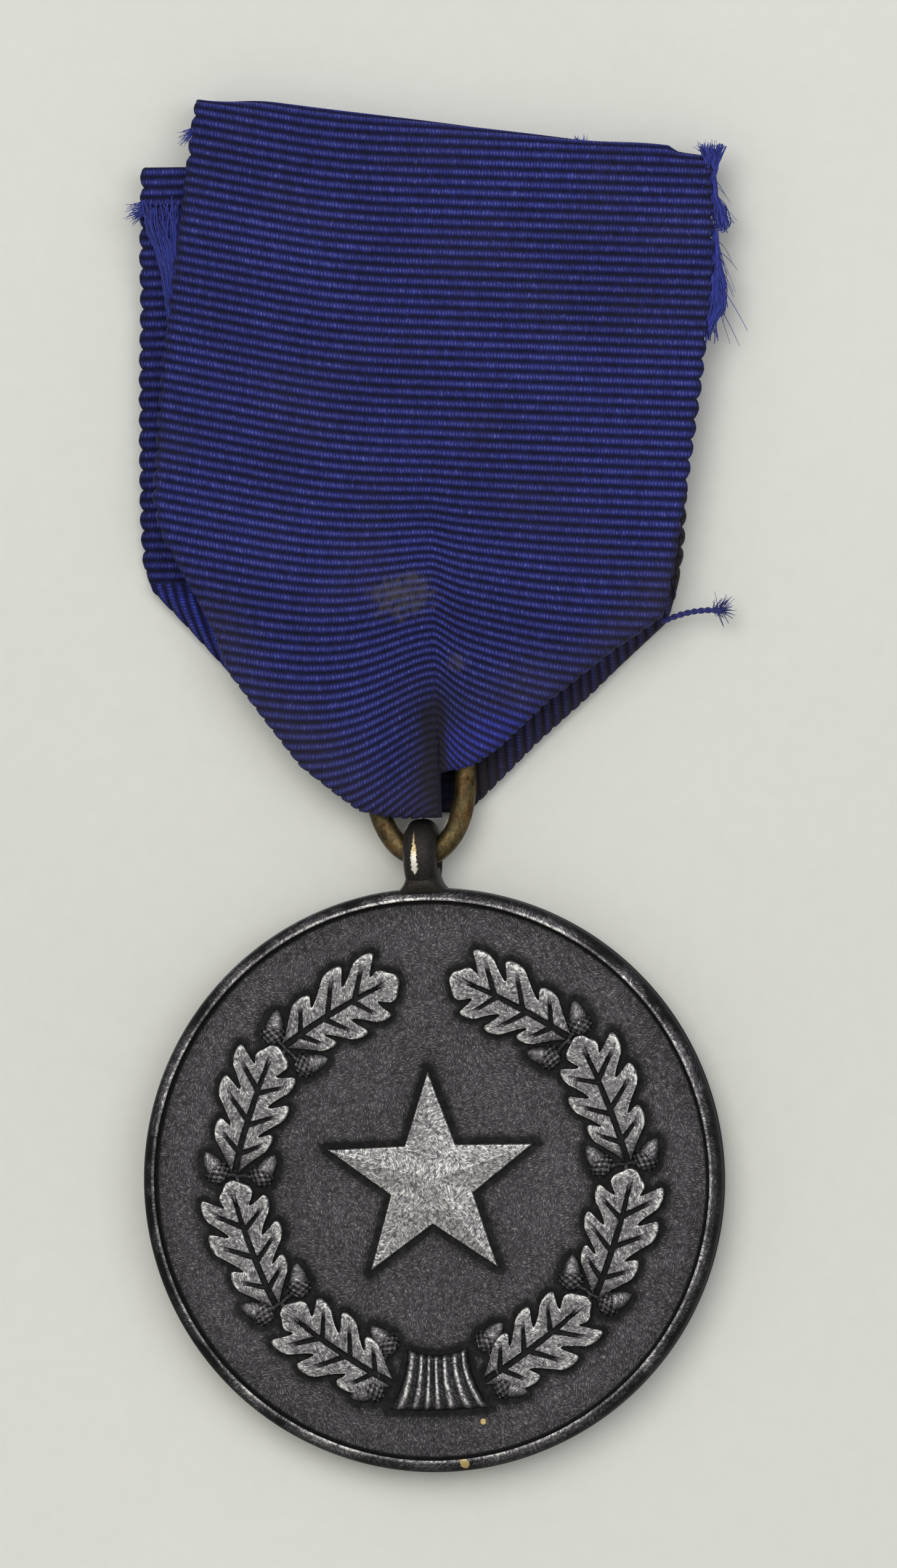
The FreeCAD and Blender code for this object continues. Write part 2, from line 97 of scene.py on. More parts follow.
def wobble(points, scale, seed=0.0):
    """Smooth noise between about -1 and 1 at each (x, y, z) of an array in millimetres."""
    flat = np.asarray(points, float).reshape(-1, 3)
    values = [noise.noise(Vector(p) / scale + Vector((seed, 2.3 * seed, 0.7))) for p in flat]
    return np.array(values).reshape(np.asarray(points).shape[:-1])


class Mesh:
    """Collects vertices (mm), faces and per-vertex values, and makes one Blender object of them."""

    def __init__(self):
        self.points = []
        self.faces = []
        self.values = {}
        self.count = 0

    def add(self, points, faces, **values):
        points = np.asarray(points, float).reshape(-1, 3)
        for name, value in values.items():
            value = np.asarray(value, float)
            if value.ndim == 0:
                value = np.full(len(points), float(value))
            self.values.setdefault(name, []).append((self.count, value))
        self.points.append(points)
        self.faces += [tuple(int(i) + self.count for i in f) for f in faces]
        self.count += len(points)

    def build(self, name, material, sharp_angle=None, weld=0.0):
        """Edges that turn by more than sharp_angle stay sharp; weld joins points closer than that."""
        data = bpy.data.meshes.new(name)
        data.from_pydata((np.concatenate(self.points) * MM).tolist(), [], self.faces)
        for key, parts in self.values.items():
            self.write_values(data, key, parts)
        data.materials.append(material)
        data.update()
        if weld:
            clean(data, weld * MM)
        data.validate()
        data.shade_smooth()
        piece = bpy.data.objects.new(name, data)
        bpy.context.scene.collection.objects.link(piece)
        if sharp_angle is not None:
            data.set_sharp_from_angle(angle=math.radians(sharp_angle))
        return piece

    def write_values(self, data, key, parts):
        single = parts[0][1].ndim == 1
        full = np.zeros(self.count if single else (self.count, 3))
        for start, value in parts:
            full[start:start + len(value)] = value
        attribute = data.attributes.new(key, "FLOAT" if single else "FLOAT_VECTOR", "POINT")
        attribute.data.foreach_set("value" if single else "vector", full.ravel())


def clean(data, distance):
    """Welds doubled vertices and drops the faces that this leaves without area."""
    work = bmesh.new()
    work.from_mesh(data)
    bmesh.ops.remove_doubles(work, verts=work.verts, dist=distance)
    bmesh.ops.dissolve_degenerate(work, edges=work.edges, dist=distance * 0.5)
    bmesh.ops.recalc_face_normals(work, faces=work.faces)
    work.to_mesh(data)
    work.free()


def grid_faces(rows, columns, close_rows=False, close_columns=False, flip=False):
    """Quads over a grid whose vertex number is row * columns + column."""
    faces = []
    for r in range(rows if close_rows else rows - 1):
        below = (r + 1) % rows
        for c in range(columns if close_columns else columns - 1):
            right = (c + 1) % columns
            quad = (r * columns + c, r * columns + right, below * columns + right, below * columns + c)
            faces.append(quad[::-1] if flip else quad)
    return faces


def capped_tube_faces(rows, columns, flip=False):
    """A grid that closes on itself across its columns, with a flat face over each end."""
    first, last = tuple(range(columns)), tuple(range((rows - 1) * columns, rows * columns))
    return grid_faces(rows, columns, close_columns=True, flip=flip) + [first, last[::-1]]


def tube(mesh, path, radius, sides, **values):
    """A round closed tube along a path of points; radius may be one value for each point."""
    path = np.asarray(path, float)
    count = len(path)
    radii = np.broadcast_to(np.asarray(radius, float), (count,))
    tangents = np.gradient(path, axis=0)
    tangents /= np.linalg.norm(tangents, axis=1)[:, None]
    side = np.cross(tangents[0], (0.31, 0.17, 0.93))
    turn = np.linspace(0, 2 * np.pi, sides, endpoint=False)[:, None]
    rings = []
    for k in range(count):
        side = side - (side @ tangents[k]) * tangents[k]
        side /= np.linalg.norm(side)
        up = np.cross(tangents[k], side)
        rings.append(path[k] + radii[k] * (np.cos(turn) * side + np.sin(turn) * up))
    points = np.concatenate(rings + [path[:1], path[-1:]])
    faces = grid_faces(count, sides, close_columns=True, flip=True)
    first, last = count * sides, count * sides + 1
    for c in range(sides):
        right = (c + 1) % sides
        faces.append((first, right, c)[::-1])
        faces.append((last, (count - 1) * sides + c, (count - 1) * sides + right)[::-1])
    mesh.add(points, faces, **values)


# ---- material helpers ---------------------------------------------------------------------------

class Shader:
    """A short way to write a node material."""

    def __init__(self, name):
        self.material = bpy.data.materials.new(name)
        self.material.use_nodes = True
        self.tree = self.material.node_tree
        self.surface = self.tree.nodes["Principled BSDF"]

    def node(self, kind, **settings):
        made = self.tree.nodes.new("ShaderNode" + kind)
        for key, value in settings.items():
            setattr(made, key, value)
        return made

    def put(self, value, socket):
        """Links a socket, or sets a plain value."""
        if isinstance(value, bpy.types.NodeSocket):
            self.tree.links.new(value, socket)
        else:
            socket.default_value = value

    def math(self, operation, *values):
        made = self.node("Math", operation=operation)
        for value, socket in zip(values, made.inputs):
            self.put(value, socket)
        return made.outputs[0]

    def add(self, first, second):
        return self.math("ADD", first, second)

    def sub(self, first, second):
        return self.math("SUBTRACT", first, second)

    def mul(self, first, second):
        return self.math("MULTIPLY", first, second)

    def scaled(self, value, factor, offset):
        return self.math("MULTIPLY_ADD", value, factor, offset)

    def sway(self, level, field, middle, weight):
        """Adds to a level what a field has above its middle value, with a weight."""
        return self.add(level, self.mul(self.sub(field, middle), weight))

    def vector(self, operation, first, second):
        made = self.node("VectorMath", operation=operation)
        self.put(first, made.inputs[0])
        self.put(second, made.inputs[1])
        return made.outputs[0]

    def stretched(self, where, factors):
        return self.vector("MULTIPLY", where, factors)

    def split(self, vector):
        """The x, y and z of a vector."""
        made = self.node("SeparateXYZ")
        self.put(vector, made.inputs[0])
        return made.outputs

    def attribute(self, name, output="Fac"):
        return self.node("Attribute", attribute_name=name).outputs[output]

    def position(self):
        """Object coordinates in millimetres, which don't change when a body moves."""
        return self.stretched(self.node("TexCoord").outputs["Object"], (1000, 1000, 1000))

    def noise(self, where, scale, detail=3.0, rough=0.55, distortion=0.0):
        made = self.node("TexNoise")
        self.put(where, made.inputs["Vector"])
        made.inputs["Scale"].default_value = scale
        made.inputs["Detail"].default_value = detail
        made.inputs["Roughness"].default_value = rough
        made.inputs["Distortion"].default_value = distortion
        return made.outputs["Fac"]

    def ramp(self, factor, stops):
        """A colour ramp; each stop is (position, grey or (r, g, b))."""
        made = self.node("ValToRGB")
        self.put(factor, made.inputs[0])
        elements = made.color_ramp.elements
        while len(elements) < len(stops):
            elements.new(0.5)
        for element, (place, colour) in zip(elements, stops):
            element.position = place
            if not isinstance(colour, tuple):
                colour = (colour, colour, colour)
            element.color = (*colour, 1)
        return made.outputs["Color"]

    def step(self, factor, low, high, top=1.0):
        """0 below low and top above high."""
        return self.ramp(factor, [(low, 0.0), (high, top)])

    def mix(self, factor, first, second, blend="MIX"):
        made = self.node("Mix", data_type="RGBA", blend_type=blend)
        self.put(factor, made.inputs[0])
        for value, socket in ((first, made.inputs[6]), (second, made.inputs[7])):
            self.put((*value, 1) if isinstance(value, tuple) else value, socket)
        return made.outputs[2]

    def tinted(self, colour, tint):
        return self.mix(1.0, colour, tint, "MULTIPLY")

    def bump(self, height, distance_mm, strength):
        made = self.node("Bump")
        made.inputs["Strength"].default_value = strength
        made.inputs["Distance"].default_value = distance_mm * MM
        self.put(height, made.inputs["Height"])
        return made.outputs["Normal"]

    def finish(self, **inputs):
        for key, value in inputs.items():
            value = (*value, 1) if isinstance(value, tuple) and len(value) == 3 else value
            self.put(value, self.surface.inputs[key.replace("_", " ")])
        return self.material


# ---- materials ----------------------------------------------------------------------------------

def hatched_cells(s, where):
    """Short tool strokes that change direction from patch to patch, as on a hand-matted field."""
    cells = s.node("TexVoronoi", feature="F1")
    s.put(where, cells.inputs["Vector"])
    cells.inputs["Scale"].default_value = 0.62
    turn = s.mul(s.split(cells.outputs["Color"])[0], 3.1)
    rotate = s.node("VectorRotate", rotation_type="Y_AXIS")
    s.put(where, rotate.inputs["Vector"])
    s.put(turn, rotate.inputs["Angle"])
    return s.noise(s.stretched(rotate.outputs[0], (4.0, 1.2, 16.0)), 1.0, 2.0, 0.6)


def spot(s, where, centre, radius):
    """1 inside a small round patch of the obverse, with a ragged edge."""
    x, _, z = s.split(where)
    dx, dz = s.sub(x, centre[0]), s.sub(z, centre[1])
    far = s.math("SQRT", s.add(s.mul(dx, dx), s.mul(dz, dz)))
    return s.math("LESS_THAN", far, s.scaled(s.noise(where, 3.5), radius, radius * 0.5))


def struck_metal():
    """Dark patinated metal that is lighter where the wear value is high; that value holds real wear and also
    painted highlights on the leaves' edges and the acorns' crests.
    """
    s = Shader("struck_metal")
    where = s.position()
    wear = s.attribute("wear")
    strokes = hatched_cells(s, where)
    grain = s.noise(where, 11.0, 4.0, 0.7)
    pits = s.mul(s.step(s.noise(where, 4.5, 4.0, 0.65), 0.48, 0.60), -0.58)
    lit_strokes = s.mul(s.step(strokes, 0.50, 0.66), 0.34)
    level = s.sway(wear, s.noise(where, 2.6, 5.0, 0.7), 0.52, 0.5)
    level = s.add(level, s.mul(pits, s.mul(wear, wear)))
    level = s.add(level, s.mul(lit_strokes, s.math("GREATER_THAN", wear, 0.09)))
    level = s.sway(level, grain, 0.5, 0.22)
    level = s.sway(level, s.noise(where, 0.16, 3.0, 0.5), 0.5, 0.14)
    colour = s.ramp(level, [
        (0.00, (0.009, 0.008, 0.008)), (0.20, (0.030, 0.028, 0.030)), (0.42, (0.080, 0.074, 0.082)),
        (0.68, (0.23, 0.222, 0.222)), (1.00, (0.62, 0.61, 0.58))])
    brass = s.math("MAXIMUM", spot(s, where, (2.84, -15.76), 0.19), spot(s, where, (1.6, -18.45), 0.30))
    colour = s.mix(s.mul(brass, 0.8), colour, (0.62, 0.47, 0.20))
    rough = s.ramp(level, [(0.0, 0.66), (0.4, 0.52), (1.0, 0.36)])
    height = s.add(s.mul(strokes, 0.6), s.mul(grain, 0.4))
    return s.finish(Base_Color=colour, Metallic=0.82, Roughness=rough, Normal=s.bump(height, 0.08, 0.5))


YARN_PITCH = 0.21
CLOTH_BLUES = [(0.00, (0.0015, 0.0016, 0.020)), (0.35, (0.0072, 0.0086, 0.074)),
               (0.75, (0.0195, 0.0240, 0.158)), (1.00, (0.0600, 0.0720, 0.320))]


def ribbon_cloth(name="ribbon_cloth", shade=1.0):
    """Ribbed rayon. The cloth value holds x, the place along the ribbon and z, all in mm."""
    s = Shader(name)
    cloth = s.attribute("cloth", "Vector")
    across, along, _ = s.split(cloth)
    ribs = s.math("DIVIDE", along, RIB_PITCH)
    odd = s.mul(s.math("FLOOR", ribs), math.pi)      # each rib's yarns stand between the last one's
    jitter = s.noise(s.stretched(cloth, (2.6, 1.3, 0.0)), 1.0, 2.0)
    yarn = s.add(s.mul(across, 2 * math.pi / YARN_PITCH), s.mul(jitter, 11.0))
    yarn = s.scaled(s.math("SINE", s.add(yarn, odd)), 0.5, 0.5)
    # painted light and shade across each rib: lighter on the crest, darker in the groove
    crest = s.scaled(s.math("COSINE", s.mul(ribs, 2 * math.pi)), -0.5, 0.5)
    crest = s.math("POWER", crest, 0.80)
    fibre = s.noise(s.stretched(cloth, (24.0, 4.5, 4.5)), 1.0, 3.0, 0.75)
    patch = s.noise(s.stretched(cloth, (0.12, 0.16, 0.1)), 1.0)
    knots = s.noise(s.stretched(cloth, (2.0, 1.5, 1.0)), 1.0, 2.0)
    light = s.mul(crest, s.scaled(yarn, 0.42, 0.52))
    for part, weight in ((fibre, 0.95), (patch, 0.30), (knots, 0.55)):
        light = s.sway(light, part, 0.5, weight)
    colour = s.ramp(light, [(place, tuple(shade * c for c in blue)) for place, blue in CLOTH_BLUES])
    # where the vivid value is set, as just right of the pleat, the cloth is a brighter, more saturated blue
    colour = s.mix(s.attribute("vivid"), colour, s.tinted(colour, (1.0, 1.35, 2.3)))
    # broken filaments that catch the light
    fleck = s.noise(s.stretched(cloth, (8.0, 1.7, 1.0)), 1.0, 1.0)
    fleck = s.mul(s.step(fleck, 0.69, 0.76), crest)
    colour = s.mix(s.mul(fleck, 0.6), colour, (0.11, 0.14, 0.42))
    # grey-brown soiling: one square patch low in the middle and a small one under it
    soil = s.math("MAXIMUM", stain(s, cloth, (0.05, 38.5), (2.6, 1.9), 0.50),
                  stain(s, cloth, (3.5, 34.0), (0.9, 0.8), 0.35))
    colour = s.mix(soil, colour, (0.085, 0.078, 0.066))
    colour = s.mix(s.attribute("shadow"), colour, (0.0035, 0.0035, 0.010))
    colour = s.mix(s.attribute("dirt"), colour, (0.030, 0.023, 0.018))
    bumps = s.add(s.mul(yarn, 0.6), s.mul(fibre, 0.5))
    return s.finish(Base_Color=colour, Roughness=0.74, Normal=s.bump(bumps, 0.07, 0.8),
                    Sheen_Weight=0.07, Sheen_Roughness=0.4, Sheen_Tint=(0.35, 0.42, 0.95),
                    Specular_IOR_Level=0.22)


def stain(s, cloth, centre, size, strength):
    """A soft-edged patch of soiling, broken up by the weave."""
    across, _, height = s.split(cloth)
    far = []
    for value, middle, half in ((across, centre[0], size[0]), (height, centre[1], size[1])):
        away = s.math("DIVIDE", s.sub(value, middle), half)
        far.append(s.math("POWER", s.math("ABSOLUTE", away), 3.0))
    ragged = s.noise(s.stretched(cloth, (1.0, 0.35, 0.35)), 2.4, 5.0, 0.75)
    level = s.sway(s.sub(1.0, s.add(*far)), ragged, 0.55, 4.0)
    return s.mul(s.step(level, 0.2, 1.0), strength)


def aged_brass(name, dark, light, scale, metallic=0.85, rough=0.42, tarnish=0.75):
    """Tarnished brass with streaks and worn spots, and red-brown patches as strong as tarnish."""
    s = Shader(name)
    where = s.position()
    streak = s.noise(s.stretched(where, (1.0, 1.0, 0.6)), scale, 5.0, 0.65, 0.4)
    spots = s.noise(where, scale * 3.2, 3.0, 0.6)
    level = s.add(s.mul(streak, 0.7), s.mul(spots, 0.3))
    colour = s.ramp(level, [(0.34, dark), (0.62, light), (0.80, tuple(1.5 * c for c in light))])
    patches = s.step(s.noise(where, 0.8, 4.0, 0.6, 0.5), 0.48, 0.62, tarnish)
    colour = s.mix(patches, colour, s.tinted(colour, (1.15, 0.80, 0.62)))
    roughness = s.ramp(level, [(0.3, rough + 0.18), (0.75, rough - 0.08)])
    normal = s.bump(s.noise(where, scale * 6, 4.0, 0.7), 0.05, 0.35)
    return s.finish(Base_Color=colour, Metallic=metallic, Roughness=roughness, Normal=normal)


def dark_strap():
    """The eye's dark patina, with a painted highlight down its front, brass-coloured above and near-white
    below.
    """
    s = Shader("dark_strap")
    where = s.position()
    x, y, z = s.split(where)
    grain = s.noise(where, 7.0, 4.0, 0.7)
    base = s.ramp(grain, [(0.3, (0.012, 0.010, 0.009)), (0.7, (0.042, 0.036, 0.032))])
    across = s.math("ABSOLUTE", s.add(x, s.scaled(grain, 0.16, 0.17)))
    # the painted highlight is a wedge that widens downwards and breaks off above the foot
    width = s.math("MINIMUM", s.mul(s.sub(22.95, z), 0.105), s.mul(s.sub(z, 19.85), 0.5))
    width = s.math("MINIMUM", width, 0.20)
    ragged = s.scaled(s.noise(where, 5.0, 3.0, 0.7), 2.4, -0.15)
    painted_highlight = s.step(s.sub(s.mul(width, ragged), across), 0.0, 0.06)
    # the painted highlight is kept to the half of the eye that faces front
    painted_highlight = s.mul(painted_highlight, s.math("LESS_THAN", y, MID_Y - 1.0))
    # painted highlight colour: brass-coloured, blending to near-white below z = 21.5
    warm = s.ramp(grain, [(0.4, (0.34, 0.24, 0.10)), (0.6, (0.66, 0.54, 0.32))])
    bright = s.mix(s.mul(s.sub(21.5, z), 2.0), warm, (0.84, 0.80, 0.70))
    normal = s.bump(s.noise(where, 16.0, 4.0, 0.7), 0.04, 0.4)
    return s.finish(Base_Color=s.mix(painted_highlight, base, bright), Metallic=0.8,
                    Roughness=s.scaled(painted_highlight, -0.12, 0.58), Normal=normal)


def drawn_steel():
    """Bright wire with fine lines along it and a few rust-brown spots."""
    s = Shader("drawn_steel")
    where = s.position()
    lines = s.noise(s.stretched(where, (0.4, 9.0, 9.0)), 2.0, 3.0, 0.6)
    spots = s.noise(where, 1.6, 5.0, 0.7)
    colour = s.ramp(s.scaled(spots, 0.6, s.mul(lines, 0.4)), [
        (0.35, (0.16, 0.13, 0.10)), (0.5, (0.42, 0.40, 0.37)), (0.75, (0.60, 0.59, 0.57))])
    return s.finish(Base_Color=colour, Metallic=0.95, Roughness=0.36, Normal=s.bump(lines, 0.03, 0.3))


def thread_fibre(name, dark, light):
    """Matt thread or loose filament. The strand value makes some filaments lighter than others."""
    s = Shader(name)
    where = s.position()
    level = s.scaled(s.attribute("strand"), 0.6, s.mul(s.noise(where, 5.0, 3.0, 0.7), 0.4))
    return s.finish(Base_Color=s.ramp(level, [(0.25, dark), (0.75, light)]), Roughness=0.7,
                    Sheen_Weight=0.4, Sheen_Roughness=0.35, Sheen_Tint=(0.5, 0.6, 1.0),
                    Specular_IOR_Level=0.3, Normal=s.bump(s.noise(where, 22.0, 2.0), 0.03, 0.4))


# ---- disc ---------------------------------------------------------------------------------------

LEAF_ANGLES = (26.8, 66.7, 108.0, 148.5)      # leaf centres, in degrees from twelve o'clock
LEAF_LEANS = (2.0, 3.0, 0.5, -4.5)            # degrees outwards
LEAF_RADIUS = 12.4            # of the circle that the leaves' centres lie on
LEAF_LENGTH = 9.0
LEAF_BEND = 0.25
LEAF_RAYS = 170               # in half a leaf
SIDE_RAYS = 0.76              # share of them that end in a side lobe
LEAF_TAIL = 0.74              # share of the midrib at which the end lobe begins
LOBE_HALF = 0.53              # half the width of a lobe
VEIN_SINE = 0.78              # of the usual angle between vein and midrib
END_LOBE = 1.06               # radius of the round lobe at the leaf's end
END_CENTRE = 0.865            # share of the midrib at which its centre lies

# Each half of a leaf: the slant of its first and last vein in degrees, the ends and the tips of its
# lobes as shares of the midrib, the lobes' lengths, and the blade that is left in the hollows.
OUTER_HALF = {"slant": (64, 45), "ends": (0.0, 0.27, 0.52, LEAF_TAIL), "tips": (0.175, 0.41, 0.64),
              "lengths": (2.35, 3.10, 3.00), "hollows": (0.25, 1.25, 1.45, 1.10)}
INNER_HALF = {"slant": (48, 61), "ends": (0.0, 0.25, 0.48, LEAF_TAIL), "tips": (0.16, 0.375, 0.62),
              "lengths": (2.3, 2.85, 2.5), "hollows": (0.2, 1.15, 1.20, 0.95)}

ACORN_ANGLES = (44.3, 84.9, 125.0, 161.0)
ACORN_SIZE = 1.06
ACORN_LENGTH = 2.2 * ACORN_SIZE
CUP_LENGTH = 1.1 * ACORN_SIZE
CUP_RADIUS = 0.74 * ACORN_SIZE
NUT_RADIUS = 0.60 * ACORN_SIZE
SUNK = -0.04                  # height of a relief's edge, so that it starts inside the field


def on_wreath(side, angle, radius):
    turn = math.radians(angle)
    return np.array((side * radius * math.sin(turn), radius * math.cos(turn)))


def growth(side, angle, lean=0.0):
    """Unit (x, z) from the stump towards the top, turned outwards by lean degrees."""
    turn = math.radians(angle + lean if side < 0 else 180 - angle - lean)
    return np.array((math.cos(turn), math.sin(turn)))


def add_relief(mesh, flat, heights, wear, rows, flip=False):
    """Adds a grid of points, given as (x, z) and heights above the field."""
    flat = np.array(flat)
    points = np.c_[flat[:, 0], FIELD_Y - np.array(heights), flat[:, 1]]
    mesh.add(points, grid_faces(rows, len(flat) // rows, flip=flip), wear=wear)


def lobe_length(along, half):
    """Length of half the blade, measured along its veins, at a share of the midrib.

    A lobe is a finger with a round end. Behind its tip it widens, in front it drops into a hollow.
    """
    for n, tip in enumerate(half["tips"]):
        low, high = half["ends"][n], half["ends"][n + 1]
        if low <= along <= high:
            behind = along < tip
            away = abs(along - tip) * LEAF_LENGTH * VEIN_SINE
            room = (tip - low if behind else high - tip) * LEAF_LENGTH * VEIN_SINE
            width = min(LOBE_HALF, 0.8 * room)
            bare = half["hollows"][n] if behind else half["hollows"][n + 1]
            shoulder = half["lengths"][n] - bare - 0.8 * width
            if away < width:
                return bare + shoulder + 0.8 * width * math.sqrt(1 - (away / width) ** 2)
            share = (away - width) / (room - width)
            return bare + shoulder * (1 - share) ** (1.6 if behind else 3.5)
    return half["hollows"][-1]


def end_lobe_length(foot, ray, centre, share, hollow):
    """Distance along a ray to the lobe at the leaf's end, which rises out of the last hollow."""
    ahead = ray @ (centre - foot)
    gap = (foot - centre) @ (foot - centre)
    blade = ahead + math.sqrt(max(0.0, ahead * ahead - gap + END_LOBE * END_LOBE))
    blade *= 1 + 0.05 * math.sin(share * 8.5)
    return min(blade, hollow + (blade - hollow) * (share / 0.14) ** 0.6)


def leaf_ray(q, half):
    """Foot of a ray on the midrib, its angle from it, and its share of the end lobe if it is there."""
    low, high = half["slant"]
    if q < SIDE_RAYS:
        along = 0.01 + (LEAF_TAIL - 0.01) * q / SIDE_RAYS
        return along, math.radians(low + (high - low) * along / LEAF_TAIL), None
    share = (q - SIDE_RAYS) / (1 - SIDE_RAYS)
    return LEAF_TAIL + 0.09 * share, math.radians(high) * (1 - share) ** 0.9, share


def leaf_section(d, blade, along, turn, nearest, has_vein):
    """Height and wear value at a distance d along a ray: midrib groove, vein, pillowed lobe and a painted
    highlight along the edge.
    """
    across = d * math.sin(turn)
    width = 0.21 * (1 - 0.5 * along)
    groove = float(1 - smooth(width * 0.8, width * 1.1, across))
    groove *= 1 - float(smooth(0.79, 0.83, along))
    vein_width = 0.165 * (1 - 0.55 * d / blade)
    vein = float(1 - smooth(vein_width * 0.7, vein_width * 1.15, nearest))
    vein *= (1 - float(smooth(0.56, 0.74, d / blade))) * has_vein
    groove = max(groove, vein)
    # painted highlight: the wear value rises towards the blade's edge
    rim = float(smooth(0.80, 0.95, d / blade))
    pillow = 0.04 * math.sin(math.pi * min(1.0, d / blade))
    sunk = 1 - float(smooth(0.0, 0.13, along))
    height = RELIEF + pillow - 0.25 * groove - 0.16 * sunk
    return height, (0.565 + 0.26 * rim - 0.25 * sunk) * (1 - groove) + 0.05 * groove


def leaf_blade(mesh, outline, side, centre_angle, lean):
    """One oak leaf: slanted rays from a grooved midrib out to three lobes a side and a round end."""
    centre = on_wreath(side, centre_angle, LEAF_RADIUS)
    axis = growth(side, centre_angle, lean)
    left = np.array((-axis[1], axis[0]))
    end_centre = centre + axis * (END_CENTRE - 0.5) * LEAF_LENGTH
    for hand in (1, -1):
        normal = left * hand
        half = OUTER_HALF if normal @ centre > 0 else INNER_HALF
        flat, heights, wear = [], [], []
        for k in range(LEAF_RAYS):
            along, turn, share = leaf_ray(k / (LEAF_RAYS - 1), half)
            foot = centre + axis * (along - 0.5) * LEAF_LENGTH
            foot = foot - left * LEAF_BEND * side * 4 * along * (1 - along)
            ray = axis * math.cos(turn) + normal * math.sin(turn)
            if share is None:
                blade = lobe_length(along, half)
            else:
                blade = end_lobe_length(foot, ray, end_centre, share, half["hollows"][-1])
            inner = min(0.34, blade * 0.45)
            steps = [inner * f for f in (0, 0.28, 0.52, 0.76, 1.0)]
            steps += [inner + (blade - inner) * f for f in (0.13, 0.3, 0.48, 0.66, 0.82, 0.92, 0.975, 1)]
            nearest = min(abs(along - tip) for tip in half["tips"]) * LEAF_LENGTH * math.sin(turn)
            for d in steps:
                height, level = leaf_section(d, blade, along, turn, nearest, share is None)
                flat.append(foot + ray * d)
                heights.append(height)
                wear.append(level)
            heights[-1] -= 0.05
            outline.append(foot + ray * blade)
            flat.append(foot + ray * (blade + 0.08))
            heights.append(SUNK)
            wear.append(0.0)
        add_relief(mesh, flat, heights, wear, LEAF_RAYS, flip=hand < 0)


def acorn_radius(a):
    """Radius at a distance a from the cup's closed end."""
    if a < CUP_LENGTH:
        t = a / CUP_LENGTH
        round_end = math.sqrt(max(0.0, 1 - (1 - min(1, t * 1.5)) ** 2))
        return CUP_RADIUS * round_end + 0.02 - 0.05 * float(smooth(0.85, 1.0, t))
    t = (a - CUP_LENGTH) / (ACORN_LENGTH - CUP_LENGTH)
    return NUT_RADIUS * ((1 - t ** 2.4) ** 0.6 * (1 - 0.2 * t)) + 0.012


def acorn(mesh, outline, place, direction):
    """A nut in its scaly cup, lying half sunk in the field."""
    across = np.array((-direction[1], direction[0]))
    rows, columns = 30, 17
    flat, heights, wear = [], [], []
    for i in range(rows):
        a = ACORN_LENGTH * i / (rows - 1)
        radius = acorn_radius(a)
        middle = place + direction * (a - ACORN_LENGTH / 2)
        for j in range(columns):
            turn = math.pi * j / (columns - 1)
            scale = 0.0
            if 0.1 < a < CUP_LENGTH - 0.06:
                scale = 0.09 * math.cos(a * 15) * math.cos(turn * 8)
            r = radius + scale
            flat.append(middle + across * r * math.cos(turn))
            heights.append(max(SUNK, 0.62 * r * math.sin(turn) - 0.02))
            # painted highlight along each acorn's crest, strongest on the nut; the cup's scales are lighter
            # on their bumps
            painted_crest_highlight = math.sin(turn) ** 1.6
            wear.append(0.06 + (0.48 * painted_crest_highlight if a > CUP_LENGTH else 0.22 * painted_crest_highlight + 4.5 * scale))
        outline.append(middle + across * radius)
        outline.append(middle - across * radius)
    add_relief(mesh, flat, heights, wear, rows, flip=True)


def stalk(mesh, start, end, sag, width=0.17):
    """A half-round twig between two places on the field."""
    steps, columns = 10, 7
    way = end - start
    across = np.array((-way[1], way[0])) / np.linalg.norm(way)
    flat, heights = [], []
    for i in range(steps):
        t = i / (steps - 1)
        middle = start + way * t + across * sag * 4 * t * (1 - t)
        for j in range(columns):
            turn = math.pi * j / (columns - 1)
            flat.append(middle + across * width * math.cos(turn))
            heights.append(0.24 * math.sin(turn) - 0.03)
    add_relief(mesh, flat, heights, 0.16, steps, flip=True)


def wreath(metal, outline):
    """Four leaves a side, with a pair of acorns on their stalks at each leaf's foot."""
    mesh = Mesh()
    last = len(LEAF_ANGLES) - 1
    for side in (-1, 1):
        for angle, lean in zip(LEAF_ANGLES, LEAF_LEANS):
            leaf_blade(mesh, outline, side, angle, lean)
        for n, angle in enumerate(ACORN_ANGLES):
            joint = on_wreath(side, angle + 2.2, 12.75)
            for out, radius, lean in ((1, 14.3, 34), (-1, 10.95, -30)):
                place = on_wreath(side, angle, radius if n < last else radius + 0.1 * out)
                way = growth(side, angle, lean)
                acorn(mesh, outline, place, way)
                stalk(mesh, joint, place - way * 0.8, 0.15 * out * side)
            if n < last:
                stalk(mesh, on_wreath(side, angle + 7.5, 12.9), joint, 0.0, 0.2)
    return mesh.build("oak_wreath", metal, 50)


STUMP_TOP = 10.85             # below the disc's centre
STUMP_FOOT = 14.85
STUMP_HALF = 2.0
STUMP_FLARE = 1.35


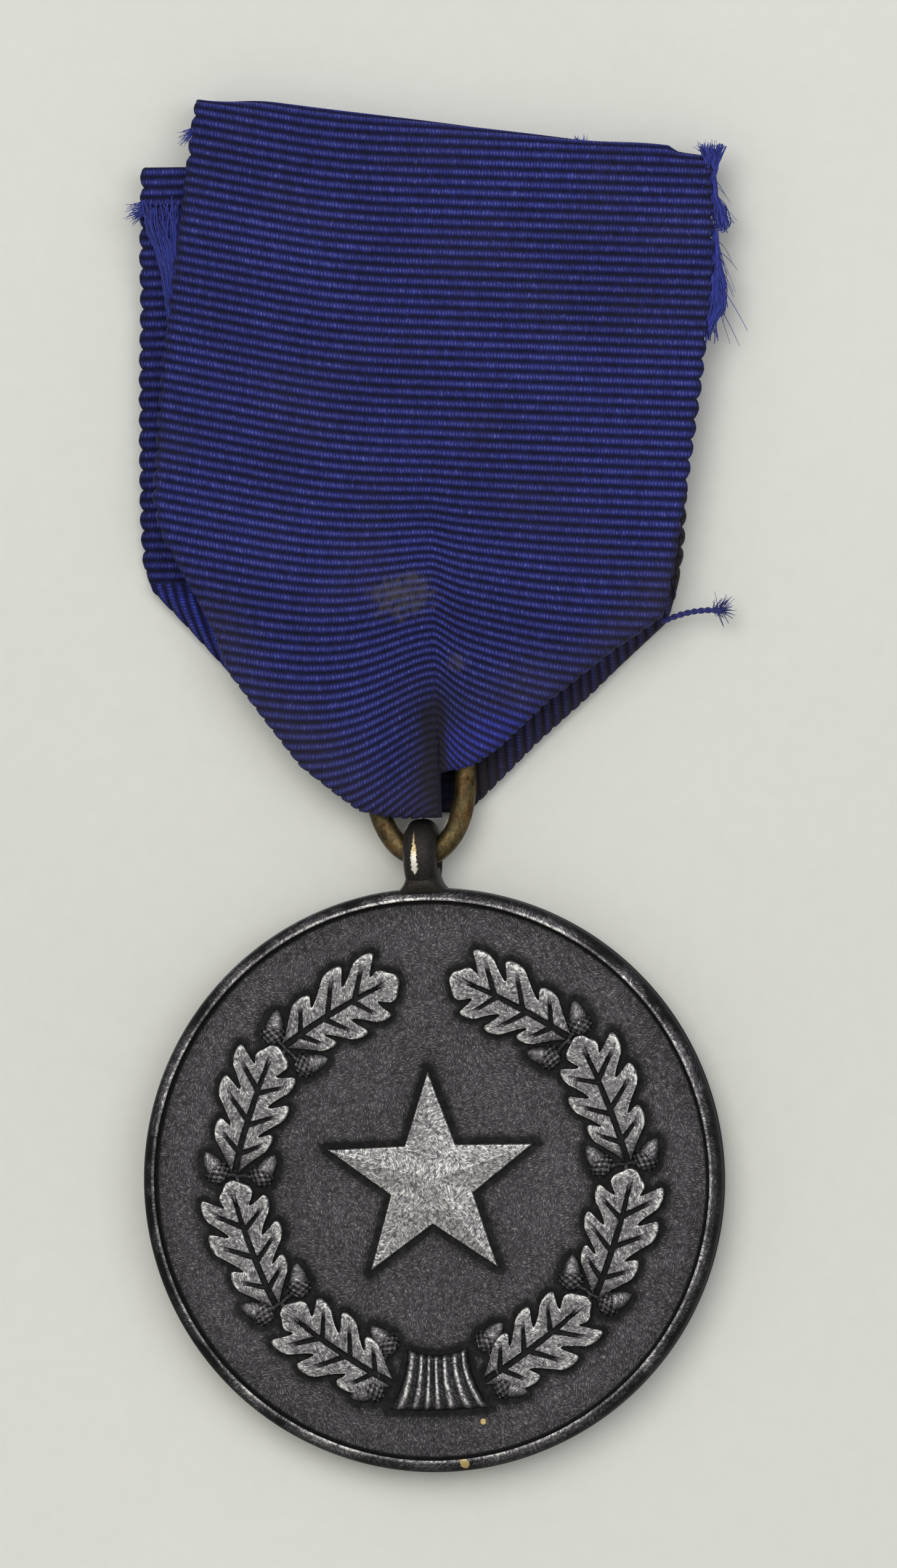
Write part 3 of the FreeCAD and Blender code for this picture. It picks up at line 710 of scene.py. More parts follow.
def stump_relief(metal, outline):
    """The fluted foot of the wreath, flared and with a dished top."""
    mesh = Mesh()
    rows, columns = 26, 121
    flat, heights, wear = [], [], []
    for i in range(rows):
        v = i / (rows - 1)
        half = STUMP_HALF + STUMP_FLARE * v ** 2.1
        for j in range(columns):
            u = -1 + 2 * j / (columns - 1)
            top = STUMP_TOP + 0.5 * (1 - u * u)
            foot = STUMP_FOOT + 0.12 * (1 - u * u)
            groove = 0.5 - 0.5 * math.cos(u * 23 + 0.9 * math.sin(u * 5 + 1.0) + 0.3 * math.sin(5 * v))
            fade = min(1.0, (1 - abs(u)) / 0.05) * min(1.0, v / 0.06) * min(1.0, (1 - v) / 0.05)
            shoulder = 1 - 0.35 * u * u - 0.25 * float(smooth(0.7, 1.0, v))
            height = (RELIEF + 0.1) * shoulder - 0.17 * groove
            ridge = (1 - groove) ** 2
            flat.append((u * half, -(top + (foot - top) * v)))
            heights.append(height * fade + SUNK * (1 - fade))
            wear.append((0.10 + 0.85 * ridge * (1 - 0.4 * float(smooth(0.75, 1.0, v)))) * fade)
            if i in (0, rows - 1) or j in (0, columns - 1):
                outline.append(np.array(flat[-1]))
    add_relief(mesh, flat, heights, wear, rows)
    return mesh.build("stump_relief", metal, 50)


STAR_RADIUS = 7.0
STAR_INNER = 0.40             # share of it at the inner corners
STAR_EDGE = (1.035, 1.0, 0.985)               # the bevel's rows, as shares of the outline


def star_relief(metal, outline):
    """A plain five-pointed star: ten facets that meet in ridges, inside a low bevelled edge."""
    mesh = Mesh()
    corners = []
    for step in range(10):
        radius = STAR_RADIUS * (1 if step % 2 == 0 else STAR_INNER)
        turn = math.radians(90 + 36 * step)
        corners.append(np.array((radius * math.cos(turn), radius * math.sin(turn))))
    steps = 16
    for a, b in zip(corners, corners[1:] + corners[:1]):
        flat, heights, wear = [], [], []
        for i in range(steps + 3):
            share = min(1.0, max(0.0, (i - 2) / steps))     # 0 on the outline, 1 at the middle
            size = STAR_EDGE[i] if i < 3 else 1 - share
            for j in range(steps + 1):
                t = j / steps
                flat.append((a * (1 - t) + b * t) * size)
                ridge = max(0.0, 1 - min(t, 1 - t) * steps / 1.2)
                if i == 0:
                    heights.append(SUNK)
                    wear.append(0.0)
                    outline.append(np.array(flat[-1]))
                else:
                    heights.append(0.26 + 0.30 * share - (0.05 if i == 1 else 0))
                    wear.append(0.66 + 0.16 * ridge + (0.15 if i <= 2 else 0))
        add_relief(mesh, flat, heights, wear, steps + 3)
    return mesh.build("star_relief", metal, 12, weld=0.004)


# Sections of the rim from the field outwards: radius, depth below the rim's top, zone.
OBVERSE_RIM = [
    (18.02, FIELD_DEPTH - 0.02, "corner"), (18.14, 0.22, "wall"), (18.19, 0.05, "wall"),
    (18.22, 0.01, "lip"), (18.27, 0.0, "lip"), (18.34, 0.01, "lip"), (18.44, 0.03, "crest"),
    (18.60, 0.10, "crest"), (18.76, 0.22, "edge"), (18.90, 0.40, "edge"), (18.97, 0.62, "side"),
    (DISC_RADIUS, 0.9, "side")]
REVERSE_RIM = [
    (18.02, FIELD_DEPTH - 0.03, "corner"), (18.15, 0.2, "wall"), (18.22, 0.02, "lip"),
    (18.30, 0.0, "lip"), (18.45, 0.05, "crest"), (18.70, 0.2, "crest"), (18.88, 0.42, "edge"),
    (18.97, 0.66, "side"), (DISC_RADIUS, 0.9, "side")]
# The seam round the middle of the side: how far it is cut in, place from the middle, zone.
SIDE_SEAM = [(0.0, -0.16, "side"), (0.05, -0.08, "line"), (0.05, 0.02, "line"), (0.0, 0.1, "side")]
ZONE_WEAR = {"field": 0.285, "corner": 0.0, "wall": 0.03, "lip": 0.50, "crest": 0.13, "edge": 0.05,
             "side": 0.02, "line": 0.16, "back": 0.32}
DISC_SEGMENTS = 480


def disc_profile():
    """(radius, y, zone) from the middle of the obverse over the rim to the middle of the reverse."""
    profile = [(r, FIELD_Y, "field") for r in np.linspace(0.15, 17.85, 88)]
    profile += [(r, OBVERSE_Y + depth, zone) for r, depth, zone in OBVERSE_RIM]
    profile += [(DISC_RADIUS - cut, MID_Y + place, zone) for cut, place, zone in SIDE_SEAM]
    profile += [(r, REVERSE_Y - depth, zone) for r, depth, zone in reversed(REVERSE_RIM)]
    profile += [(r, REVERSE_Y - FIELD_DEPTH, "back") for r in np.linspace(17.8, 0.15, 24)]
    return profile


def rim_wear(zone, place, turn):
    """Patches of wear on the rim, most at its top and bottom and along the lip beside the eye."""
    patchy = noise.noise(Vector(place) / 3.1) * 0.34
    patchy += noise.noise(Vector(place) / 0.8) * 0.18
    upright = 0.22 * abs(math.sin(turn)) + 0.10 * max(0.0, math.cos(turn)) - 0.06
    level = (patchy + upright) * (0.3 if zone == "edge" else 1.0)
    if zone == "lip":
        level += 0.26 * math.exp(-((turn - 1.74) / 0.24) ** 2)
    return level


def disc_body(metal, outline):
    """The turned disc. The obverse field sinks a little and darkens close to the relief."""
    tree = kdtree.KDTree(len(outline))
    for n, (x, z) in enumerate(outline):
        tree.insert((x, 0, z), n)
    tree.balance()
    profile = disc_profile()
    points, wear = [], []
    for radius, y, zone in profile:
        for turn in np.linspace(0, 2 * np.pi, DISC_SEGMENTS, endpoint=False):
            x, z = radius * math.cos(turn), radius * math.sin(turn)
            level, depth = ZONE_WEAR[zone], y
            if zone == "field":
                gap = tree.find((x, 0, z))[2]
                level -= 0.20 * float(smooth(0.85, 0.20, gap)) + 0.06 * math.exp(-gap / 1.6)
                level -= 0.07 * float(smooth(16.6, 17.9, radius))
                depth += 0.05 * math.exp(-gap / 0.35)
            elif zone in ("lip", "crest", "edge"):
                level += rim_wear(zone, (x, y, z), turn)
            points.append((x, depth, z))
            wear.append(level)
    first, last = len(points), len(points) + 1
    points += [(0, FIELD_Y, 0), (0, REVERSE_Y - FIELD_DEPTH, 0)]
    wear += [ZONE_WEAR["field"], ZONE_WEAR["back"]]
    faces = grid_faces(len(profile), DISC_SEGMENTS, close_columns=True)
    end = (len(profile) - 1) * DISC_SEGMENTS
    for c in range(DISC_SEGMENTS):
        right = (c + 1) % DISC_SEGMENTS
        faces.append((first, right, c))
        faces.append((last, end + c, end + right))
    mesh = Mesh()
    mesh.add(points, faces, wear=wear)
    return mesh.build("struck_disc", metal, 60)


# ---- eye and ring -------------------------------------------------------------------------------

EYE_Z = 21.11                 # where the ring passes through the eye
EYE_HOLE = 1.14
EYE_HALF_WIDTH = 1.09
EYE_SIDE = 0.25               # thickness of the strap at its sides, and what its middle has more
EYE_CROWN = 1.01
EYE_FLARE = 0.22              # of the hole towards its sides, so that the bent wire clears it

FOOT_TOP_Z = 20.27
FOOT_DEPTH = 1.67

RING_WIRE = 0.72              # radius of the wire
RING_HALF_WIDTH = 3.0         # of the oval, to the middle of the wire
RING_TOP_Z = mm_box("suspension_ring")[1][2] - 0.65


def strap_eye(material):
    """The loop: a strap that is thick in the middle and thins towards its sides."""
    across = np.sin(np.linspace(-math.pi / 2, math.pi / 2, 23)) * EYE_HALF_WIDTH
    crown = (1 - np.abs(across / EYE_HALF_WIDTH) ** 2.8) ** 0.5
    outer = EYE_HOLE + EYE_SIDE + EYE_CROWN * crown
    back = np.linspace(EYE_HALF_WIDTH, -EYE_HALF_WIDTH, 13)
    inner = EYE_HOLE + EYE_FLARE * (back / EYE_HALF_WIDTH) ** 2
    profile = list(zip(across, outer)) + list(zip(back, inner))
    turns = np.linspace(0, 2 * np.pi, 72, endpoint=False)
    points = [(x, MID_Y - r * math.sin(turn), EYE_Z + r * math.cos(turn)) for turn in turns
              for x, r in profile]
    mesh = Mesh()
    mesh.add(points, grid_faces(len(turns), len(profile), close_rows=True, close_columns=True, flip=True))
    return mesh.build("strap_eye", material, 60)


def solder_foot(material):
    """The flared foot that joins the loop to the rim."""
    rows, columns = 18, 56
    points = []
    for i in range(rows):
        t = i / (rows - 1)
        z = FOOT_TOP_Z - FOOT_DEPTH * t
        half_x = 1.10 + 0.85 * t ** 3.0
        half_y = 1.05 + 0.75 * math.sin(math.pi * 0.85 * t)
        for j in range(columns):
            turn = 2 * math.pi * j / columns
            c, d = math.cos(turn), math.sin(turn)
            x = half_x * math.copysign(abs(c) ** 0.6, c)
            y = MID_Y + half_y * math.copysign(abs(d) ** 0.6, d)
            lump = 0.05 * noise.noise(Vector((x, y, z)) * 1.3)
            points.append((x * (1 + lump), y + lump, z))
    mesh = Mesh()
    mesh.add(points, capped_tube_faces(rows, columns, flip=True))
    return mesh.build("solder_foot", material, 60)


def wire_ring(material):
    """An oval bent from round wire, with its butt joint at the top, inside the fold."""
    half_height = (RING_TOP_Z - EYE_Z) / 2
    centre_z = EYE_Z + half_height
    behind = np.array((0, 1, 0))
    steps, sides = 200, 28
    points = []
    for step in range(steps):
        turn = 2 * math.pi * step / steps
        sine, cosine = math.sin(turn), math.cos(turn)
        middle = np.array((RING_HALF_WIDTH * sine, MID_Y, centre_z - half_height * cosine))
        outward = np.array((half_height * sine, 0, -RING_HALF_WIDTH * cosine))
        outward /= np.linalg.norm(outward)
        dent = 0.04 * noise.noise(Vector(middle) / 1.4)
        wire = RING_WIRE * (0.92 if step == steps // 2 else 1 + dent)
        for k in range(sides):
            around = 2 * math.pi * k / sides
            points.append(middle + wire * (math.cos(around) * outward + math.sin(around) * behind))
    mesh = Mesh()
    mesh.add(points, grid_faces(steps, sides, close_rows=True, close_columns=True))
    return mesh.build("wire_ring", material, weld=0.002)


# ---- ribbon -------------------------------------------------------------------------------------

TOP_FRONT_Y, TOP_BACK_Y = TOP_LOW[1], TOP_HIGH[1]
DRAPE_FRONT_Y, DRAPE_BACK_Y = DRAPE_LOW[1], DRAPE_HIGH[1]
CREASE_X = 2.0                # the pleat above the ring
APEX_Z = 30.5                 # where the pleat opens

# Edges as (x, z) from the top down. Long straight or curved stretches need only their ends.
FRONT_LEFT = [(-12.7, 71.0), (-13.9, 63.7), (-15.6, 52.7), (-16.3, 45.7), (-15.9, 43.3), (-14.7, 40.9),
              (-12.7, 36.8), (-11.8, 34.0), (-9.4, 30.6), (-7.2, 27.6), (-4.9, 25.7), (-3.4, 24.55),
              (-1.6, 24.12), (-0.4, 23.98), (CREASE_X, 23.92)]
FRONT_RIGHT = [(21.2, 66.6), (21.1, 59.3), (20.1, 52.1), (18.8, 44.5), (18.1, 41.0), (17.7, 38.8),
               (17.0, 36.5), (13.5, 34.3), (9.1, 31.1), (6.0, 28.4), (4.3, 27.3), (CREASE_X, 26.8)]
BACK_LEFT = [(-16.5, 67.1), (-17.2, 54.2), (-17.55, 44.0), (-17.5, 41.0), (-17.0, 39.5), (-14.9, 37.2),
             (-3.0, 24.5)]
BACK_RIGHT = [(18.2, 67.1), (18.6, 52.0), (18.5, 44.0), (18.15, 40.7), (17.75, 38.5), (17.0, 36.2),
              (13.4, 33.1), (10.0, 30.2), (3.0, 24.5)]
FOLD_LEFT = [(-17.3, 40.2), (-17.0, 39.5), (-14.9, 37.2), (-11.6, 33.4), (-3.0, 24.3)]
FOLD_RIGHT = [(17.9, 38.6), (17.0, 36.2), (15.4, 34.9), (11.8, 31.6), (8.4, 28.8), (2.8, 23.6)]


def edge_x(edge, z):
    """x of an edge at each z."""
    path = np.array(edge[::-1])
    return np.interp(z, path[:, 1], path[:, 0])


def front_rib_z(x, level):
    """Height of the front's rib, whose level is its height at x = 0 before the pleat lifts it.

    Right of the pleat a rib falls steeply and then runs flat; left of it the fall is even.
    """
    x = np.asarray(x, float)
    slope = -0.08 * x
    steps = np.linspace(-9, 2, 45)
    pull = np.concatenate([[0], np.cumsum(1 - smooth(-9, 2, (steps[1:] + steps[:-1]) / 2)) * 0.25])
    left_of = np.interp(x, steps, pull[-1] - pull) + np.maximum(0, -9 - x)
    shape = slope + 0.15 * (left_of - np.interp(0.0, steps, pull[-1] - pull))
    lift = 0.235 * np.logaddexp(0, (45.0 - level) / 2.0) * 2.0
    aside = np.abs(x - CREASE_X)
    left = np.exp(-(aside / 5.2) ** 1.6)
    right = 0.36 * np.exp(-(aside / 1.3) ** 1.5) + 0.64 * np.exp(-(aside / 6.0) ** 1.9)
    return level + shape + lift * np.where(x < CREASE_X, left, right)


def crossing(edge, rib, level, low, high, from_left):
    """x where a rib meets an edge."""
    x = np.linspace(low, high, 900)
    inside = (x - edge_x(edge, rib(x, level))) * (1 if from_left else -1) >= 0
    if inside.all():
        return low if from_left else high
    if not inside.any():
        return high if from_left else low
    k = np.argmax(inside) if from_left else len(x) - 1 - np.argmax(inside[::-1])
    return x[k]


def spread(count, crowd=0.85):
    """Shares from 0 to 1 that crowd towards both ends."""
    t = np.linspace(0, 1, count)
    return t - crowd * np.sin(2 * np.pi * t) / (2 * np.pi)


def scallop(level):
    """The weave's turns along a selvedge: one bulge for every two ribs."""
    return 0.26 * (np.abs(np.cos(np.pi * level / (2 * RIB_PITCH))) ** 0.7 - 0.6)


def knot(level):
    """Where the ribs turn round a fold, each of them stands out a little."""
    return 0.16 * (rib_profile(level) - 0.6)


def rib_profile(level):
    """0 in the groove between two ribs, 1 on the crest."""
    share = np.mod(level / RIB_PITCH, 1.0)
    return np.clip(1 - (2 * share - 1) ** 2, 0, 1) ** 0.4


def settle(points):
    """The ribbon lies a little to the left of and below the places that its edges are given at."""
    points = np.array(points, float)
    points[..., 0] = 0.995 * points[..., 0] - 0.5
    points[..., 2] -= 0.4 + 0.0035 * (points[..., 2] - 24)
    return points


def closed_sheet(mesh, outer, normal, thick, edge_gap, level, cloth, fade=0.30, **values):
    """A layer of ribbon between two ribbed faces, with rounded edges."""
    rows, columns = level.shape
    radius = thick / 2
    near = np.clip(1 - edge_gap / np.maximum(radius, 1e-6), 0, 1)
    round_off = np.sqrt(np.clip(1 - near ** 2, 0, 1))[..., None]
    bump = RIB_HEIGHT * (rib_profile(level) - 1)
    bump = (bump * smooth(-0.02, fade, edge_gap))[..., None]
    middle = outer - normal * radius[..., None]
    front = middle + normal * (radius[..., None] * round_off + bump)
    back = middle - normal * (radius[..., None] * round_off + bump)
    points = settle(np.concatenate([front.reshape(-1, 3), back.reshape(-1, 3)]))
    total = rows * columns
    faces = grid_faces(rows, columns)
    faces += [tuple(i + total for i in f[::-1]) for f in grid_faces(rows, columns)]
    for r in range(rows - 1):
        a, b = r * columns, (r + 1) * columns
        faces.append((a, b, b + total, a + total))
        a, b = a + columns - 1, b + columns - 1
        faces.append((a, a + total, b + total, b))
    for c in range(columns - 1):
        faces.append((c, c + total, c + 1 + total, c + 1))
        a = (rows - 1) * columns + c
        faces.append((a, a + 1, a + 1 + total, a + total))
    doubled = {name: np.tile(value.ravel(), 2) for name, value in values.items()}
    doubled["shadow"][total:] = 0     # the painted shade is kept to the side that faces front
    mesh.add(points, faces, cloth=np.tile(cloth.reshape(-1, 3), (2, 1)), **doubled)


TURN_RADIUS = (TOP_BACK_Y - TOP_FRONT_Y) / 2      # of the roll over the top
HEM_LENGTH = 8.6


def top_roll_z(x):
    """Height of the fold line at the top: sloping, lower at the left corner and bulged at the right."""
    bulge = 0.38 * smooth(12.0, 18.0, x) * smooth(19.0, 18.4, x)
    return 69.18 - 0.165 * (x - 4) - 0.45 * smooth(-7.5, -12.2, x) + bulge


def front_rows():
    """x, rib level and the gaps to the nearest and to the right edge, for each row of the front."""
    top_level = 68.5 + math.pi * TURN_RADIUS + HEM_LENGTH
    levels = np.arange(math.ceil(top_level / RIB_STEP), math.floor(17.5 / RIB_STEP), -1) * RIB_STEP
    rows = []
    for level in levels:
        xl = crossing(FRONT_LEFT, front_rib_z, level, -18.5, CREASE_X, True)
        if level < 60 and xl >= CREASE_X:
            break
        xr = crossing(FRONT_RIGHT, front_rib_z, level, CREASE_X, 22.5, False)
        fold_left = float(smooth(44, 40, front_rib_z(xl, level)))
        fold_right = float(smooth(37.5, 36, front_rib_z(xr, level)))
        if xl < CREASE_X - 1:
            xl -= scallop(level) * (1 - fold_left) + knot(level) * fold_left
        if xr > CREASE_X + 1:
            xr += scallop(level) * (1 - fold_right) + knot(level) * fold_right
        x = np.concatenate([xl + (CREASE_X - xl) * spread(42),
                            CREASE_X + (xr - CREASE_X) * spread(40)[1:]])
        gap = (x - xl) * (1 - 0.3 * fold_left)
        if xr - CREASE_X < 0.05:      # below the right flap the crease itself is the edge
            gap = np.minimum(gap, CREASE_X - x + 0.02)
        else:
            gap = np.minimum(gap, (xr - x) * (1 - 0.3 * fold_right))
        rows.append((x, np.full_like(x, level), np.maximum(gap, 0), xr - x))
    return np.array(rows).transpose(1, 0, 2)


def front_shade_and_dirt(x, z, out_z, gap, gap_to_right, rolled, rest):
    """Painted shade, darkest in the pleat and at the edges; the front is darker round the pleat's foot,
    brighter blue right of it and dirty along its edges.
    """
    in_pleat = np.where(x < CREASE_X, smooth(1.6, 0.2, CREASE_X - x), smooth(0.9, 0.1, x - CREASE_X))
    shadow = 0.55 * smooth(0.6, 0.05, gap) * (1 - 0.6 * rolled) + 0.9 * smooth(33.5, 30.0, out_z) * in_pleat
    vivid = 0.75 * smooth(32.0, 29.5, out_z) * smooth(0.25, 0.7, x - CREASE_X)
    vivid = vivid * smooth(3.8, 1.4, gap_to_right)
    around = np.exp(-((x - CREASE_X) / 3.0) ** 2) * smooth(35.5, 31.0, out_z) * (1 - vivid)
    shadow = np.clip(shadow * (0.85 + 0.5 * wobble(rest, 1.3, 5.0)) + 0.42 * around, 0, 0.9)
    dirt = 0.30 * np.clip(smooth(4.5, 0.0, gap) * smooth(44, 36, z) + 0.5 * wobble(rest, 4.0, 8.0), 0, 1)
    return {"shadow": shadow, "vivid": vivid, "dirt": dirt}


def front_sheet(cloth_material):
    """Front half of the ribbon, from the hem behind the brooch over the top and down to the ring."""
    x, level, gap, gap_to_right = front_rows()
    z = front_rib_z(x, level)
    past = z - (top_roll_z(x) - TURN_RADIUS)
    x = x - 0.035 * (x - 4) * smooth(2, 6, past)
    fold = top_roll_z(x) - TURN_RADIUS
    turn = np.clip(past / TURN_RADIUS, 0, math.pi)
    face_y = TOP_FRONT_Y + (DRAPE_FRONT_Y - 0.15 - TOP_FRONT_Y) * smooth(50, 36, z)
    below = np.where(past < 0, past, 0) - np.maximum(past - math.pi * TURN_RADIUS, 0)
    out_z = fold + TURN_RADIUS * np.sin(turn) + below
    out_y = face_y + TURN_RADIUS * (1 - np.cos(turn))
    normal = np.stack([np.zeros_like(x), -np.cos(turn), np.sin(turn)], axis=-1)
    rest = np.stack([x, np.zeros_like(x), z], axis=-1)
    flat_part = smooth(0, -4, past)
    out_y = out_y + flat_part * (0.16 * wobble(rest, 9.0, 1.0) + 0.05 * wobble(rest, 3.0, 2.0))
    out_y = out_y + pleat_depth(x, out_z)
    # the folded edges roll back before they meet the layer behind
    rolled = np.where(x < CREASE_X, smooth(42, 39, z), smooth(37.5, 35.5, z))
    near = np.clip(1 - gap / 0.9, 0, 1)
    out_y = out_y + 0.35 * rolled * (1 - np.sqrt(1 - near ** 2))
    outer = np.stack([x, out_y, out_z], axis=-1)
    thick = PLY + 0.30 * smooth(42, 36, z) * smooth(1.2, 2.6, np.abs(x - CREASE_X))
    mesh = Mesh()
    closed_sheet(mesh, outer, normal, thick, gap, level, np.stack([x, level, z], axis=-1),
                 **front_shade_and_dirt(x, z, out_z, gap, gap_to_right, rolled, rest))
    return mesh.build("ribbon_front", cloth_material, weld=0.004)


PLEAT_SINK = 0.5              # stays in front of the ring's wire


def pleat_depth(x, z):
    """How far the front sinks at the pleat: a round shoulder on the left, a hollow on the right."""
    left = np.clip(1 - (CREASE_X - x) / 1.2, 0, 1)
    left = 1 - np.sqrt(1 - left ** 2)
    right = np.exp(-np.maximum(x - CREASE_X, 0) / 0.45)
    profile = np.where(x < CREASE_X, left, right)
    open_share = smooth(APEX_Z + 1.2, APEX_Z - 2.5, z)
    swell = -0.22 * np.exp(-((x - CREASE_X + 3.0) / 2.2) ** 2) * smooth(36, 30, z)
    return PLEAT_SINK * profile * open_share + swell


CLEAN_Z = 90.0                # a height on the cloth that is above both stains


def flat_sheet(mesh, x, y, z, gap, level, across, **values):
    """A layer of even thickness that faces the front and has no stain on it."""
    outer = np.stack([x, y, z], axis=-1)
    normal = np.broadcast_to(np.array((0.0, -1.0, 0.0)), outer.shape)
    cloth = np.stack([across, level, np.full_like(x, CLEAN_Z)], axis=-1)
    closed_sheet(mesh, outer, normal, np.full_like(x, PLY), gap, level, cloth, **values)


def back_rib_z(x, level):
    return level - 0.03 * np.asarray(x, float)


def back_sheet(cloth_material):
    """Back half of the ribbon, with its raw end under the brooch. Its ribs run nearly level."""
    rows = []
    for level in np.arange(math.ceil(66.6 / RIB_STEP), math.floor(24.2 / RIB_STEP), -1) * RIB_STEP:
        bulge = scallop(level) * float(smooth(38, 42, level))
        xl = crossing(BACK_LEFT, back_rib_z, level, -19, 2, True) - bulge
        xr = crossing(BACK_RIGHT, back_rib_z, level, 2, 20, False) + bulge
        x = xl + (xr - xl) * spread(46, 0.9)
        rows.append((x, np.full_like(x, level), np.minimum(x - xl, xr - x)))
    x, level, gap = np.array(rows).transpose(1, 0, 2)
    z = back_rib_z(x, level)
    rest = np.stack([x, np.zeros_like(x), z], axis=-1)
    top_y, brooch_y = TOP_FRONT_Y + 0.85, TOP_BACK_Y - PLY - 0.08
    foot_y = DRAPE_BACK_Y - PLY - 0.04
    y = top_y + (brooch_y - top_y) * smooth(62, 57.5, z) + (foot_y - brooch_y) * smooth(50, 38, z)
    y = y + 0.1 * wobble(rest, 8.0, 4.0)
    sheltered = 0.92 * smooth(33, 30, z) * smooth(7, 5, np.abs(x))
    mesh = Mesh()
    flat_sheet(mesh, x, y, z, gap, level, x,
               shadow=np.maximum(0.55 * smooth(0.6, 0.1, gap), sheltered),
               dirt=0.8 * smooth(1.4, 0.3, gap) * smooth(54, 47, z) * (x > 0))
    return mesh.build("ribbon_back", cloth_material, weld=0.004)


def fold_strip(mesh, side, edge, slope, top_z, levels, width, vivid, dirt):
    """One side of the turned layer: ribs on lines x = level + slope * (z - 30), up from the edge."""
    rows = []
    low, high = levels
    for level in np.arange(math.ceil(low / RIB_STEP), math.floor(high / RIB_STEP)) * RIB_STEP:
        z = np.linspace(24.4, top_z, 500)
        inside = (level + slope * (z - 30) - edge_x(edge, z)) * side <= 0
        if not inside.any() or z[np.argmax(inside)] > top_z - 0.3:
            continue
        z_low = z[np.argmax(inside)] - knot(level) * float(smooth(3.2, 4.6, abs(level)))
        z_high = min(top_z, z_low + width)
        z = z_low + (z_high - z_low) * spread(26)
        rows.append((level + slope * (z - 30), z, np.full_like(z, level),
                     np.minimum(z - z_low, z_high - z) * 0.7))
    x, z, level, gap = np.array(rows).transpose(1, 0, 2)
    rest = np.stack([x, np.zeros_like(x), z], axis=-1)
    # it lies on the back layer along its outer edge and its top, and stands off it between them
    stand_off = smooth(0, 2.0, z - z[:, :1]) * smooth(0, 1.5, top_z - z)
    y = MID_Y + 0.86 + (0.08 * wobble(rest, 5.0, 9.0) - 0.95 * smooth(31.5, 37.0, z)) * stand_off
    beside_ring = 0.92 * smooth(7.0, 4.6, x) * (side > 0)
    flat_sheet(mesh, x, y, z, gap, level, z, fade=0.15,
               shadow=np.maximum(0.35 * smooth(0.6, 0.1, gap), beside_ring),
               dirt=np.full_like(x, dirt), vivid=np.full_like(x, vivid))


def fold_sheet(cloth_material):
    """The layer turned diagonally between front and back. Its ribs run nearly upright."""
    mesh = Mesh()
    fold_strip(mesh, -1, FOLD_LEFT, -0.30, 39.9, (-19.0, -5.0), 9.0, 0.5, 0.05)
    fold_strip(mesh, 1, FOLD_RIGHT, -0.05, 38.4, (3.0, 19.4), 7.5, 0.0, 0.42)
    return mesh.build("ribbon_fold", cloth_material, weld=0.004)


def ribbon_neck(cloth_material):
    """The bundle of ribbon that passes through the ring from front to back."""
    mesh = Mesh()
    centre_z, half_z, half_x = 27.3, 3.05, 1.0
    rows, columns = 25, 96
    points, cloth = [], []
    for i in range(rows):
        y = MID_Y - 1.05 + 2.1 * i / (rows - 1)
        for j in range(columns):
            turn = 2 * math.pi * j / columns
            groove = 1 - 0.06 * abs(math.sin(turn * 11))
            points.append((half_x * groove * math.cos(turn), y, centre_z + half_z * groove * math.sin(turn)))
            cloth.append((y, turn * 2.2, CLEAN_Z))
    mesh.add(points, capped_tube_faces(rows, columns), cloth=cloth, shadow=0.85)
    return mesh.build("ribbon_neck", cloth_material, 60)


# ---- threads ------------------------------------------------------------------------------------

def tuft(mesh, roots, direction, length, spread_by, droop, count, radius=0.028):
    """Loose filaments that start along a line of roots and lean apart."""
    roots = np.asarray(roots, float)
    direction = np.asarray(direction, float) / np.linalg.norm(direction)
    for _ in range(count):
        share = RNG.random() * (len(roots) - 1)
        k = min(int(share), len(roots) - 2)
        start = roots[k] + (roots[k + 1] - roots[k]) * (share - k)
        way = direction + RNG.normal(0, spread_by, 3) * (1, 0.5, 1)
        way /= np.linalg.norm(way)
        reach = length * RNG.uniform(0.35, 1.15)
        curl = RNG.normal(0, 0.22, 3) * reach
        t = np.linspace(0, 1, 8)[:, None]
        path = start + way * reach * t + np.array(droop) * reach * t ** 2 + curl * t ** 2 * (1 - 0.4 * t)
        tube(mesh, path, radius * (1 - 0.5 * t[:, 0]) * RNG.uniform(0.7, 1.3), sides=4,
             strand=RNG.random())


def hank(mesh, guide, widths, count, radius=0.032, loose=0.25):
    """Filaments that run side by side along a guide, whose spread is given at each of its points."""
    guide, widths = np.asarray(guide, float), np.asarray(widths, float)
    steps = np.linspace(0, len(guide) - 1, 4 * len(guide))
    spots = range(len(guide))
    for _ in range(count):
        first = RNG.uniform(0, 0.35) * (len(guide) - 1)
        last = RNG.uniform(0.6, 1.0) * (len(guide) - 1)
        part = steps[(steps >= first) & (steps <= last)]
        centre = np.stack([np.interp(part, spots, guide[:, k]) for k in range(3)], axis=-1)
        width = np.interp(part, spots, widths)[:, None]
        away = RNG.uniform(-0.5, 0.5, 3) * (1.0, 0.45, 0.15)
        sway = RNG.normal(0, 0.12, 3) * np.sin(part * RNG.uniform(0.8, 2.2) + RNG.uniform(0, 6))[:, None]
        free = RNG.normal(0, loose, 3) * smooth(0.7, 1.0, part / (len(guide) - 1))[:, None] ** 2
        tube(mesh, centre + width * (away + sway * (1, 0.3, 0.3)) + free, radius, sides=4,
             strand=RNG.random())


